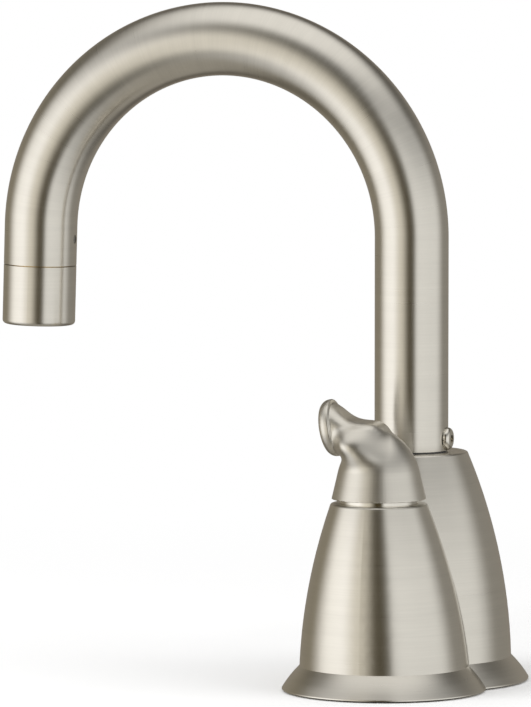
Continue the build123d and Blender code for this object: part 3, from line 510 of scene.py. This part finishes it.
def widened_arm(mesh):
    """Places of a mesh with the arm's two sides pushed out, strongest at one height and reach."""
    places = np.array([vertex.co for vertex in mesh.vertices])
    side = places[:, 0] - LEVER_AXIS_X
    off = np.square((places[:, 1] - WIDENED_Y) / WIDENED_REACH)
    off += np.square((places[:, 2] - WIDENED_HEIGHT) / WIDENED_RISE)
    swell = np.square(np.clip(1 - off, 0, 1)) * np.clip((np.abs(side) - ARM_CORE) / ARM_CORE_RAMP, 0, 1)
    swell *= off_the_paddle(places)
    places[:, 0] += np.sign(side) * swell * WIDENING
    return places


broad_places = widened_arm(handle.data)
print("places:", len(broad_places))

# %% [markdown]
# Last, the copy is relaxed near the seam: round after round, each point moves towards the middle of
# its neighbours, but never below the solid's own surface. So the hollow fills up like a membrane,
# and every rounded form stays. The dome on top of the hub is left out.

# %% Fill the hollow
BLEND_REACH = 0.014
BLEND_ROUNDS = 340
BLEND_STEP = 0.9
TOP_HEIGHT = 0.0882
TOP_RISE = 0.0008
TOP_FACING = 0.3
TOP_FACING_RAMP = 0.3


def eased(share):
    """A share from 0 to 1 that starts and ends softly."""
    return share * share * (3 - 2 * share)


def blend_weights(start, outwards, spots):
    """How far each place may go in a round: most at the seam, none on the dome or out of reach."""
    tree = KDTree(len(spots))
    for index, spot in enumerate(spots):
        tree.insert(spot, index)
    tree.balance()
    distance = np.array([tree.find(place)[2] for place in start])
    weight = np.clip(1 - distance / BLEND_REACH, 0, 1) * off_the_paddle(start)
    on_top = np.clip((start[:, 2] - TOP_HEIGHT) / TOP_RISE, 0, 1)
    weight *= 1 - on_top * np.clip((outwards[:, 2] - TOP_FACING) / TOP_FACING_RAMP, 0, 1)
    return eased(weight) * BLEND_STEP


def neighbour_table(mesh, moving):
    """Neighbours of each moving vertex in a row, filled up with the vertex itself."""
    neighbours = [[] for vertex in mesh.vertices]
    for edge in mesh.edges:
        first, second = edge.vertices
        neighbours[first].append(second)
        neighbours[second].append(first)
    width = max(len(neighbours[index]) for index in moving)
    return np.array([neighbours[index] + [index] * (width - len(neighbours[index])) for index in moving])


def fill_near(mesh, places, spots):
    """Relax widened places near some points, never below the mesh's own surface."""
    start = np.array([vertex.co for vertex in mesh.vertices])
    outwards = np.array([vertex.normal for vertex in mesh.vertices])
    weight = blend_weights(start, outwards, spots)
    moving = np.nonzero(weight > 0)[0]
    table = neighbour_table(mesh, moving)
    step, rest, up = weight[moving, None], start[moving], outwards[moving]
    for turn in range(BLEND_ROUNDS):
        moved = places[moving]
        moved += (places[table].mean(axis=1) - moved) * step
        lift = np.sum((moved - rest) * up, axis=1, keepdims=True)
        places[moving] = moved - up * np.minimum(lift, 0)
    mesh.vertices.foreach_set("co", places.ravel())
    mesh.update()
    print("places relaxed:", len(moving))


def smooth_faces(mesh):
    """Shade all faces of a mesh smooth."""
    mesh.polygons.foreach_set("use_smooth", [True] * len(mesh.polygons))


fill_near(handle.data, broad_places, seam_spots)
smooth_faces(handle.data)
handle.data.materials.append(satin_handle)
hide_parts("lever_handle")
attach(handle, "lever")

# %% [markdown]
# ## Pieces made by Geometry Nodes
# A piece that follows a rule is bent out of a flat grid by math nodes, with its sizes as named
# inputs. Each tree ends in real geometry and its material, and its result is taken over as a plain
# mesh, so that no modifier is left.

# %% Geometry Nodes helpers
WELD_DISTANCE = 0.000002


def geometry_group(name, inputs):
    """Geometry Nodes tree with named float inputs and a material input."""
    group = bpy.data.node_groups.new(name, "GeometryNodeTree")
    group.interface.new_socket("Geometry", in_out="INPUT", socket_type="NodeSocketGeometry")
    for label, default in inputs:
        socket = group.interface.new_socket(label, in_out="INPUT", socket_type="NodeSocketFloat")
        socket.default_value = default
    group.interface.new_socket("Material", in_out="INPUT", socket_type="NodeSocketMaterial")
    group.interface.new_socket("Geometry", in_out="OUTPUT", socket_type="NodeSocketGeometry")
    return group, add_node(group, "NodeGroupInput"), add_node(group, "NodeGroupOutput")


def flat_grid(group, width, height, columns, rows):
    """Flat grid with its middle at the origin, and how far its points lie across and up."""
    grid = add_node(group, "GeometryNodeMeshGrid")
    sizes = {"Size X": width, "Size Y": height, "Vertices X": columns, "Vertices Y": rows}
    for label, value in sizes.items():
        feed(group, grid.inputs[label], value)
    place = add_node(group, "ShaderNodeSeparateXYZ")
    feed(group, place.inputs[0], add_node(group, "GeometryNodeInputPosition").outputs[0])
    return grid.outputs["Mesh"], place.outputs[0], place.outputs[1]


def bent_grid(group, grid, position):
    """The grid with its points at a worked-out position, welded where its rims meet."""
    move = add_node(group, "GeometryNodeSetPosition")
    feed(group, move.inputs["Geometry"], grid)
    feed(group, move.inputs["Position"], position)
    join = add_node(group, "GeometryNodeMergeByDistance")
    feed(group, join.inputs["Geometry"], move.outputs["Geometry"])
    join.inputs["Distance"].default_value = WELD_DISTANCE
    return join.outputs["Geometry"]


def finish_tree(group, given, result, geometry):
    """End a tree with real geometry and its material."""
    realize = add_node(group, "GeometryNodeRealizeInstances")
    feed(group, realize.inputs[0], geometry)
    paint = add_node(group, "GeometryNodeSetMaterial")
    feed(group, paint.inputs["Geometry"], realize.outputs[0])
    feed(group, paint.inputs["Material"], given.outputs["Material"])
    feed(group, result.inputs["Geometry"], paint.outputs["Geometry"])


def made_by(group, name, values, material):
    """Plain mesh object that a Geometry Nodes tree makes from the values of its inputs."""
    holder = bpy.data.objects.new(name + "_maker", bpy.data.meshes.new(name + "_maker"))
    scene.collection.objects.link(holder)
    modifier = holder.modifiers.new("maker", "NODES")
    modifier.node_group = group
    for socket in group.interface.items_tree:
        if socket.in_out == "INPUT" and socket.name in values:
            modifier[socket.identifier] = values[socket.name]
        if socket.in_out == "INPUT" and socket.name == "Material":
            modifier[socket.identifier] = material
    return plain_mesh_of(holder, name)


# %% [markdown]
# ## The mounting stud's thread
# The stud below the deck is a rod with an M8 thread all along it. In the CAD it is a plain rod,
# because a cut thread costs many faces there. A thread is a rule: the radius rises and falls with
# height less a turn's share of the pitch. The ends taper, as a cut rod's ends do.

# %% Thread tree
THREAD_SIZES = (("Crest Radius", 0.004), ("Thread Depth", 0.00072), ("Pitch", 0.00125),
                ("Foot Height", -0.06), ("Length", 0.076), ("End Taper", 0.0012))
ROWS_IN_A_TURN = 8
THREAD_COLUMNS = 40
FLANK_STEEPNESS = 1.15
CREST_SOFTNESS = 0.2


def thread_group():
    """Tree that bends a grid into a threaded rod with tapered, open ends."""
    group, given, result = geometry_group("threaded_rod", THREAD_SIZES)
    size = given.outputs
    turns = math_node(group, "DIVIDE", size["Length"], size["Pitch"])
    rows = math_node(group, "MULTIPLY", turns, ROWS_IN_A_TURN)
    grid, across, upwards = flat_grid(group, 1.0, 1.0, THREAD_COLUMNS + 1, rows)
    turn = math_node(group, "ADD", across, 0.5)
    up = math_node(group, "MULTIPLY", math_node(group, "ADD", upwards, 0.5), size["Length"])
    phase = math_node(group, "SUBTRACT", math_node(group, "DIVIDE", up, size["Pitch"]), turn)
    # Ping-pong goes up and down within 2, so twice the phase makes one wave in a turn
    wave = math_node(group, "PINGPONG", math_node(group, "MULTIPLY", phase, 2.0), 1.0)
    steep_wave = math_node(group, "MULTIPLY", wave, FLANK_STEEPNESS)
    flank = math_node(group, "SMOOTH_MIN", steep_wave, 1.0, CREST_SOFTNESS)
    from_end = math_node(group, "MINIMUM", up, math_node(group, "SUBTRACT", size["Length"], up))
    taper = math_node(group, "MAXIMUM", math_node(group, "SUBTRACT", size["End Taper"], from_end), 0.0)
    groove = math_node(group, "MULTIPLY", math_node(group, "SUBTRACT", 1.0, flank), size["Thread Depth"])
    cut = math_node(group, "MAXIMUM", groove, taper)
    radius = math_node(group, "SUBTRACT", size["Crest Radius"], cut)
    angle = math_node(group, "MULTIPLY", turn, 2 * pi)
    place = vector_of(group, math_node(group, "MULTIPLY", math_node(group, "COSINE", angle), radius),
                      math_node(group, "MULTIPLY", math_node(group, "SINE", angle), radius),
                      math_node(group, "ADD", up, size["Foot Height"]))
    finish_tree(group, given, result, bent_grid(group, grid, place))
    return group


thread_tree = thread_group()
print("nodes in the thread's tree:", len(thread_tree.nodes))

# %% [markdown]
# The stud takes its place, length and thickness from its CAD rod. The tree leaves its two ends
# open, so they are filled, and all faces are turned outwards.

# %% Threaded stud


def close_ends(mesh):
    """Fill a mesh's open rims with a fan round their middle, and point its faces outwards."""
    shape = bmesh.new()
    shape.from_mesh(mesh)
    rims = [edge for edge in shape.edges if edge.is_boundary]
    filled = bmesh.ops.holes_fill(shape, edges=rims)["faces"]
    bmesh.ops.poke(shape, faces=filled)
    bmesh.ops.recalc_face_normals(shape, faces=shape.faces)
    shape.to_mesh(mesh)
    shape.free()


def threaded_stud():
    """The M8 stud under the deck, where its CAD rod stands."""
    low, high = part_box("mounting_stud")
    values = {"Foot Height": low[2], "Length": high[2] - low[2], "Crest Radius": (high[0] - low[0]) / 2}
    stud = made_by(thread_tree, "mounting_stud_thread", values, zinc_steel)
    middle = Vector(((low[0] + high[0]) / 2, (low[1] + high[1]) / 2, 0))
    for vertex in stud.data.vertices:
        vertex.co += middle
    close_ends(stud.data)
    smooth_faces(stud.data)
    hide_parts("mounting_stud")
    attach(stud, "root")
    print("stud faces:", len(stud.data.polygons))


threaded_stud()

# %% [markdown]
# ## The gooseneck tube
# The largest piece follows one rule: a wall between two radii runs up a straight foot, round a
# bend and down a short leg. The grid's rows go out along the tube's outside and come back along its
# bore, so one sheet makes the whole wall. A Mesh Boolean node takes the cutters away from it.

# %% Tube tree
TUBE_SIZES = (("Tube Radius", 0.0125), ("Wall", 0.0012), ("Foot Height", 0.0782),
              ("Bend Radius", BEND_RADIUS), ("Bend Height", BEND_HEIGHT),
              ("Bend Angle", radians(178.4)), ("Leg Length", 0.0135))
TUBE_ROWS = 170
TUBE_COLUMNS = 96
LAST_OUTSIDE_ROW = TUBE_ROWS - 1
LAST_BORE_ROW = 2 * TUBE_ROWS - 1


def tube_wall(group, size, row):
    """A row's radius and its share of the tube's length, out along the outside and back inside."""
    on_bore = math_node(group, "MULTIPLY", math_node(group, "GREATER_THAN", row, LAST_OUTSIDE_ROW + 0.5),
                        math_node(group, "LESS_THAN", row, LAST_BORE_ROW + 0.5))
    thinner = math_node(group, "MULTIPLY", on_bore, size["Wall"])
    radius = math_node(group, "SUBTRACT", size["Tube Radius"], thinner)
    outside_row = math_node(group, "MINIMUM", row, LAST_OUTSIDE_ROW)
    bore_row = math_node(group, "SUBTRACT", LAST_BORE_ROW, row)
    step = math_node(group, "MAXIMUM", math_node(group, "MINIMUM", outside_row, bore_row), 0.0)
    return radius, math_node(group, "DIVIDE", step, LAST_OUTSIDE_ROW)


def place_in_tube(group, size, share, turn, radius):
    """Place of a point, from its share of the tube's length, its turn round it and its radius."""
    foot = math_node(group, "SUBTRACT", size["Bend Height"], size["Foot Height"])
    bend = math_node(group, "MULTIPLY", size["Bend Radius"], size["Bend Angle"])
    length = math_node(group, "ADD", math_node(group, "ADD", foot, bend), size["Leg Length"])
    along = math_node(group, "MULTIPLY", share, length)
    on_foot = math_node(group, "MINIMUM", along, foot)
    past_foot = math_node(group, "MAXIMUM", math_node(group, "SUBTRACT", along, foot), 0.0)
    angle = math_node(group, "DIVIDE", math_node(group, "MINIMUM", past_foot, bend), size["Bend Radius"])
    on_leg = math_node(group, "MAXIMUM", math_node(group, "SUBTRACT", past_foot, bend), 0.0)
    across, rise = math_node(group, "COSINE", angle), math_node(group, "SINE", angle)
    off_side = math_node(group, "MULTIPLY", math_node(group, "COSINE", turn), radius)
    off_spoke = math_node(group, "MULTIPLY", math_node(group, "SINE", turn), radius)
    spoke = math_node(group, "ADD", size["Bend Radius"], off_spoke)
    out = math_node(group, "SUBTRACT", math_node(group, "MULTIPLY", spoke, across), size["Bend Radius"])
    out = math_node(group, "SUBTRACT", out, math_node(group, "MULTIPLY", on_leg, rise))
    up = math_node(group, "ADD", math_node(group, "MULTIPLY", spoke, rise), size["Foot Height"])
    straight = math_node(group, "ADD", on_foot, math_node(group, "MULTIPLY", on_leg, across))
    return vector_of(group, off_side, out, math_node(group, "ADD", up, straight))


def tube_group():
    """Tree that bends a grid into the gooseneck's wall and takes the cutters away from it."""
    group, given, result = geometry_group("gooseneck_tube", TUBE_SIZES)
    group.interface.new_socket("Cutters", in_out="INPUT", socket_type="NodeSocketObject")
    size = given.outputs
    grid, across, upwards = flat_grid(group, TUBE_COLUMNS, 2 * TUBE_ROWS, TUBE_COLUMNS + 1, 2 * TUBE_ROWS + 1)
    turn = math_node(group, "MULTIPLY", across, 2 * pi / TUBE_COLUMNS)
    row = math_node(group, "ROUND", math_node(group, "ADD", upwards, TUBE_ROWS))
    radius, share = tube_wall(group, size, row)
    wall = bent_grid(group, grid, place_in_tube(group, size, share, turn, radius))
    taken = add_node(group, "GeometryNodeObjectInfo")
    feed(group, taken.inputs["Object"], given.outputs["Cutters"])
    cut = add_node(group, "GeometryNodeMeshBoolean", operation="DIFFERENCE", solver="EXACT")
    feed(group, cut.inputs["Mesh 1"], wall)
    feed(group, cut.inputs["Mesh 2"], taken.outputs["Geometry"])
    cut.inputs["Self Intersection"].default_value = True
    finish_tree(group, given, result, cut.outputs["Mesh"])
    return group


tube_tree = tube_group()
print("nodes in the tube's tree:", len(tube_tree.nodes))

# %% [markdown]
# The real tube has three cuts. At the back of its foot a flat seat is milled for the screw's head,
# with the screw's hole in it, and the leg has a small hole on its inner side. A rod cuts each.

# %% Cutters of the tube
SCREW_HEIGHT = 0.0822
SCREW_SEAT_RADIUS = 0.00385
SCREW_SEAT_Y = 0.0122
SCREW_HOLE_RADIUS = 0.002
SCREW_HOLE_WALLS = 4
LEG_HOLE_RADIUS = 0.0015
LEG_HOLE_DROP = 0.00445
CUTTER_SIDES = 40


def cutting_rod(shape, start, direction, radius, length):
    """Add a closed rod to a bmesh, starting at a place and running in a direction."""
    turn = direction.to_track_quat("Z", "Y").to_matrix().to_4x4()
    place = Matrix.Translation(start + direction * (length / 2)) @ turn
    bmesh.ops.create_cone(shape, cap_ends=True, segments=CUTTER_SIDES, radius1=radius, radius2=radius,
                          depth=length, matrix=place)


def tube_cutters():
    """Rods that cut the screw's seat and hole at the foot and the small hole in the leg."""
    size = dict(TUBE_SIZES)
    lean = pi - size["Bend Angle"]
    bend_end = Vector((0, -BEND_RADIUS - BEND_RADIUS * cos(lean), BEND_HEIGHT + BEND_RADIUS * sin(lean)))
    leg_run = Vector((0, -sin(lean), -cos(lean)))
    leg_inwards = Vector((0, cos(lean), -sin(lean)))
    leg_hole = bend_end + leg_run * LEG_HOLE_DROP
    backwards, forwards = Vector((0, 1, 0)), Vector((0, -1, 0))
    seat = Vector((0, SCREW_SEAT_Y, SCREW_HEIGHT))
    hole_start = seat + Vector((0, size["Wall"], 0))
    shape = bmesh.new()
    cutting_rod(shape, seat, backwards, SCREW_SEAT_RADIUS, size["Tube Radius"])
    cutting_rod(shape, hole_start, forwards, SCREW_HOLE_RADIUS, SCREW_HOLE_WALLS * size["Wall"])
    cutting_rod(shape, leg_hole, leg_inwards, LEG_HOLE_RADIUS, 2 * size["Tube Radius"])
    mesh = bpy.data.meshes.new("tube_cutters")
    shape.to_mesh(mesh)
    shape.free()
    rods = bpy.data.objects.new("tube_cutters", mesh)
    scene.collection.objects.link(rods)
    return rods


cutters = tube_cutters()
print("faces of the cutters:", len(cutters.data.polygons))

# %% [markdown]
# The exact cut leaves crumbs: edges of almost no length where a rod meets the wall. They are merged
# away, so that the mesh stays closed. Then the tube is shaded smooth, but for its sharp rims.

# %% Gooseneck tube
CUT_CRUMB = 0.000003
SHARP_EDGE = radians(35)


def clean_cut(mesh):
    """Merge the crumbs that a cut leaves, and point the faces outwards."""
    shape = bmesh.new()
    shape.from_mesh(mesh)
    bmesh.ops.remove_doubles(shape, verts=shape.verts, dist=CUT_CRUMB)
    bmesh.ops.dissolve_degenerate(shape, edges=shape.edges, dist=CUT_CRUMB)
    bmesh.ops.recalc_face_normals(shape, faces=shape.faces)
    shape.to_mesh(mesh)
    shape.free()


def gooseneck_tube():
    """The spout's tube in place of its CAD solid, in the finish that follows the bend."""
    tube = made_by(tube_tree, "gooseneck_tube", {"Cutters": cutters}, satin_gooseneck)
    bpy.data.objects.remove(cutters)
    clean_cut(tube.data)
    smooth_faces(tube.data)
    tube.data.set_sharp_from_angle(angle=SHARP_EDGE)
    # The rods have no material and leave an empty slot, so the slots are set again
    tube.data.materials.clear()
    tube.data.materials.append(satin_gooseneck)
    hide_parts("spout_tube")
    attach(tube, "spout")
    print("tube faces:", len(tube.data.polygons))


gooseneck_tube()

# %% [markdown]
# ## The floor and the light
# The photo shows the tap on plain white, with no shadow. A real tap stands on something, so here a
# floor takes its soft shadow: a disc that is lit only in its middle, where the shadow falls. Further
# out it is plain white for the camera and clear for all other rays, so it has no visible edge. From
# below it is clear, because the clamp and the stubs hang there.

# %% Floor
FLOOR_RADIUS = 1.2
FLOOR_SIDES = 96
SHADOW_REACH = 0.14
WHITE_REACH = 0.54
FLOOR_COLOUR = (0.99, 0.99, 0.99, 1.0)
FLOOR_ROUGHNESS = 0.9
FLOOR_SPECULAR = 0.1


def mixed_shader(tree, share, first, second):
    """Mix of two shaders: the second one's share."""
    mix = add_node(tree, "ShaderNodeMixShader")
    for socket, source in zip(mix.inputs, (share, first, second)):
        feed(tree, socket, source)
    return mix.outputs[0]


def pale_floor():
    """Disc on the deck's plane, lit in the middle, plain white further out, clear from below."""
    bpy.ops.mesh.primitive_circle_add(vertices=FLOOR_SIDES, radius=FLOOR_RADIUS, fill_type="NGON",
                                      location=(0, 0, 0))
    floor = bpy.context.object
    floor.name = "floor"
    material, tree, shader = new_material("floor_paper")
    shader.inputs["Base Color"].default_value = FLOOR_COLOUR
    shader.inputs["Roughness"].default_value = FLOOR_ROUGHNESS
    shader.inputs["Specular IOR Level"].default_value = FLOOR_SPECULAR
    distance = add_node(tree, "ShaderNodeVectorMath", operation="LENGTH")
    feed(tree, distance.inputs[0], object_place(tree))
    fade = add_node(tree, "ShaderNodeMapRange", interpolation_type="SMOOTHSTEP")
    feed(tree, fade.inputs["Value"], distance.outputs["Value"])
    fade.inputs["From Min"].default_value = SHADOW_REACH
    fade.inputs["From Max"].default_value = WHITE_REACH
    clear = add_node(tree, "ShaderNodeBsdfTransparent").outputs[0]
    white = add_node(tree, "ShaderNodeEmission").outputs[0]
    camera_ray = add_node(tree, "ShaderNodeLightPath").outputs["Is Camera Ray"]
    further_out = mixed_shader(tree, camera_ray, clear, white)
    above = mixed_shader(tree, fade.outputs["Result"], shader.outputs[0], further_out)
    below = add_node(tree, "ShaderNodeNewGeometry").outputs["Backfacing"]
    feed(tree, tree.nodes["Material Output"].inputs["Surface"], mixed_shader(tree, below, above, clear))
    floor.data.materials.append(material)
    floor.visible_glossy = False
    print("floor radius:", FLOOR_RADIUS)


pale_floor()

# %% [markdown]
# Metal shows its surroundings, so the light on it is a room, not a lamp. A tent stands round the
# tap: a bright panel to the left, a wide softer one to the right, a dark gap where the camera
# stands, dim cloth behind, a white ceiling and a grey floor. Its colours are given by bearing and
# by height, at a few stops with soft changes between them.

# %% Colours of the light tent
CEILING_LIGHT = (0.98, 0.97, 0.95)
FLOOR_LIGHT = (0.36, 0.34, 0.30)

# Bearing from the camera, in degrees to the right, and the panel's colour there
PANEL_STOPS = (
    (-180, (0.20, 0.18, 0.15)),
    (-120, (0.20, 0.18, 0.14)),
    (-80, (0.94, 0.93, 0.91)),
    (-62, (0.98, 0.97, 0.96)),
    (-34, (0.62, 0.59, 0.52)),
    (-7, (0.05, 0.04, 0.02)),
    (4, (0.06, 0.05, 0.03)),
    (18, (0.72, 0.72, 0.71)),
    (80, (0.66, 0.66, 0.65)),
    (118, (0.22, 0.21, 0.19)),
    (180, (0.20, 0.18, 0.15)),
)
# Height in degrees above the tap, how bright the panels are there, and the ceiling's or floor's share
HEIGHT_STOPS = (
    (-90, (0.5, 1.0)),
    (-62, (0.5, 1.0)),
    (-42, (0.6, 0.0)),
    (-16, (1.35, 0.0)),
    (8, (1.35, 0.0)),
    (38, (0.5, 0.0)),
    (66, (0.5, 1.0)),
    (90, (0.5, 1.0)),
)


def between_stops(stops, place):
    """Values at a place between two stops, eased at both."""
    for (low, low_values), (high, high_values) in zip(stops, stops[1:]):
        if low <= place <= high:
            share = eased((place - low) / (high - low))
            return [a + (b - a) * share for a, b in zip(low_values, high_values)]
    return list(stops[-1][1])


def tent_colour(bearing, elevation):
    """Colour of the tent in a direction from the tap."""
    panel = between_stops(PANEL_STOPS, bearing)
    brightness, cap_share = between_stops(HEIGHT_STOPS, elevation)
    cap = CEILING_LIGHT if elevation > 0 else FLOOR_LIGHT
    return [p * brightness * (1 - cap_share) + c * cap_share for p, c in zip(panel, cap)]


print("colour of the gap at the camera:", [round(value, 3) for value in tent_colour(0, 0)])

# %% [markdown]
# The tent itself is a ball of small panels round the tap's middle, which glow with the colours of
# their corners. Only reflections see it, so it can be smaller than the camera's distance.

# %% Light tent
TENT_RADIUS = 1.4
TENT_HEIGHT = 0.13
TENT_COLUMNS = 120
TENT_ROWS = 36


def tent_corners():
    """Places and colours of the tent's corners, row by row from below."""
    points, colours = [], []
    for row in range(TENT_ROWS + 1):
        elevation = -90 + 180 * row / TENT_ROWS
        flat, rise = cos(radians(elevation)), sin(radians(elevation))
        for column in range(TENT_COLUMNS):
            bearing = -180 + 360 * column / TENT_COLUMNS
            azimuth = radians(CAMERA_AZIMUTH + bearing)
            points.append((TENT_RADIUS * flat * sin(azimuth), -TENT_RADIUS * flat * cos(azimuth),
                           TENT_HEIGHT + TENT_RADIUS * rise))
            colours.append(tent_colour(bearing, elevation))
    return points, colours


def tent_panels():
    """Numbers of the four corners of each panel."""
    faces = []
    for row in range(TENT_ROWS):
        for column in range(TENT_COLUMNS):
            here, after = row * TENT_COLUMNS + column, row * TENT_COLUMNS + (column + 1) % TENT_COLUMNS
            faces.append((here, here + TENT_COLUMNS, after + TENT_COLUMNS, after))
    return faces


def glowing_panels():
    """Material that glows with the colour stored on the corners."""
    material = bpy.data.materials.new("light_panels")
    material.use_nodes = True
    tree = material.node_tree
    tree.nodes.clear()
    source = add_node(tree, "ShaderNodeVertexColor", layer_name="panel")
    glow = add_node(tree, "ShaderNodeEmission")
    feed(tree, glow.inputs["Color"], source.outputs["Color"])
    output = add_node(tree, "ShaderNodeOutputMaterial")
    feed(tree, output.inputs["Surface"], glow.outputs[0])
    return material


def light_tent():
    """Closed tent of panels, coloured at its corners, that only reflections see."""
    points, colours = tent_corners()
    mesh = bpy.data.meshes.new("light_tent")
    mesh.from_pydata(points, [], tent_panels())
    tint = mesh.color_attributes.new("panel", "FLOAT_COLOR", "POINT")
    for entry, colour in zip(tint.data, colours):
        entry.color = (*colour, 1.0)
    mesh.materials.append(glowing_panels())
    tent = bpy.data.objects.new("light_tent", mesh)
    scene.collection.objects.link(tent)
    tent.visible_camera = False
    tent.visible_diffuse = False
    tent.visible_shadow = False
    tent.visible_transmission = False
    print("tent panels:", len(mesh.polygons))


light_tent()

# %% [markdown]
# Two square lamps stand for a photographer's soft boxes. They light what is dull, the floor with
# it, and cast the soft shadow. Reflections don't see them, since the tent is there for that. The
# world is white where the camera looks past everything, and dimmer as a light.

# %% Lamps and world
WORLD_LEVEL = 0.75
KEY_POWER = 9.0
FILL_POWER = 6.0
LAMP_AIM = Vector((0, 0, 0.1))


def soft_lamp(name, bearing, height, distance, size, power):
    """Square soft lamp that faces the tap, for its shadow and its dull pieces."""
    data = bpy.data.lights.new(name, "AREA")
    data.shape = "SQUARE"
    data.size = size
    data.energy = power
    lamp = bpy.data.objects.new(name, data)
    azimuth = radians(CAMERA_AZIMUTH + bearing)
    lamp.location = (distance * sin(azimuth), -distance * cos(azimuth), height)
    lamp.rotation_euler = (LAMP_AIM - lamp.location).to_track_quat("-Z", "Y").to_euler()
    lamp.visible_glossy = False
    scene.collection.objects.link(lamp)
    print(name, "power", power)


def white_world():
    """White where the camera, metal or glass look, and a plain soft level for the rest."""
    world = bpy.data.worlds.new("studio")
    world.use_nodes = True
    tree = world.node_tree
    background = tree.nodes["Background"]
    background.inputs["Color"].default_value = (1, 1, 1, 1)
    path = add_node(tree, "ShaderNodeLightPath")
    seen = math_node(tree, "MAXIMUM", path.outputs["Is Camera Ray"], path.outputs["Is Glossy Ray"])
    seen = math_node(tree, "MAXIMUM", seen, path.outputs["Is Transmission Ray"])
    level = math_node(tree, "MULTIPLY_ADD", seen, 1.0 - WORLD_LEVEL, WORLD_LEVEL)
    feed(tree, background.inputs["Strength"], level)
    scene.world = world


soft_lamp("key_lamp", bearing=-65, height=1.1, distance=1.2, size=0.9, power=KEY_POWER)
soft_lamp("fill_lamp", bearing=60, height=0.9, distance=1.3, size=1.1, power=FILL_POWER)
white_world()
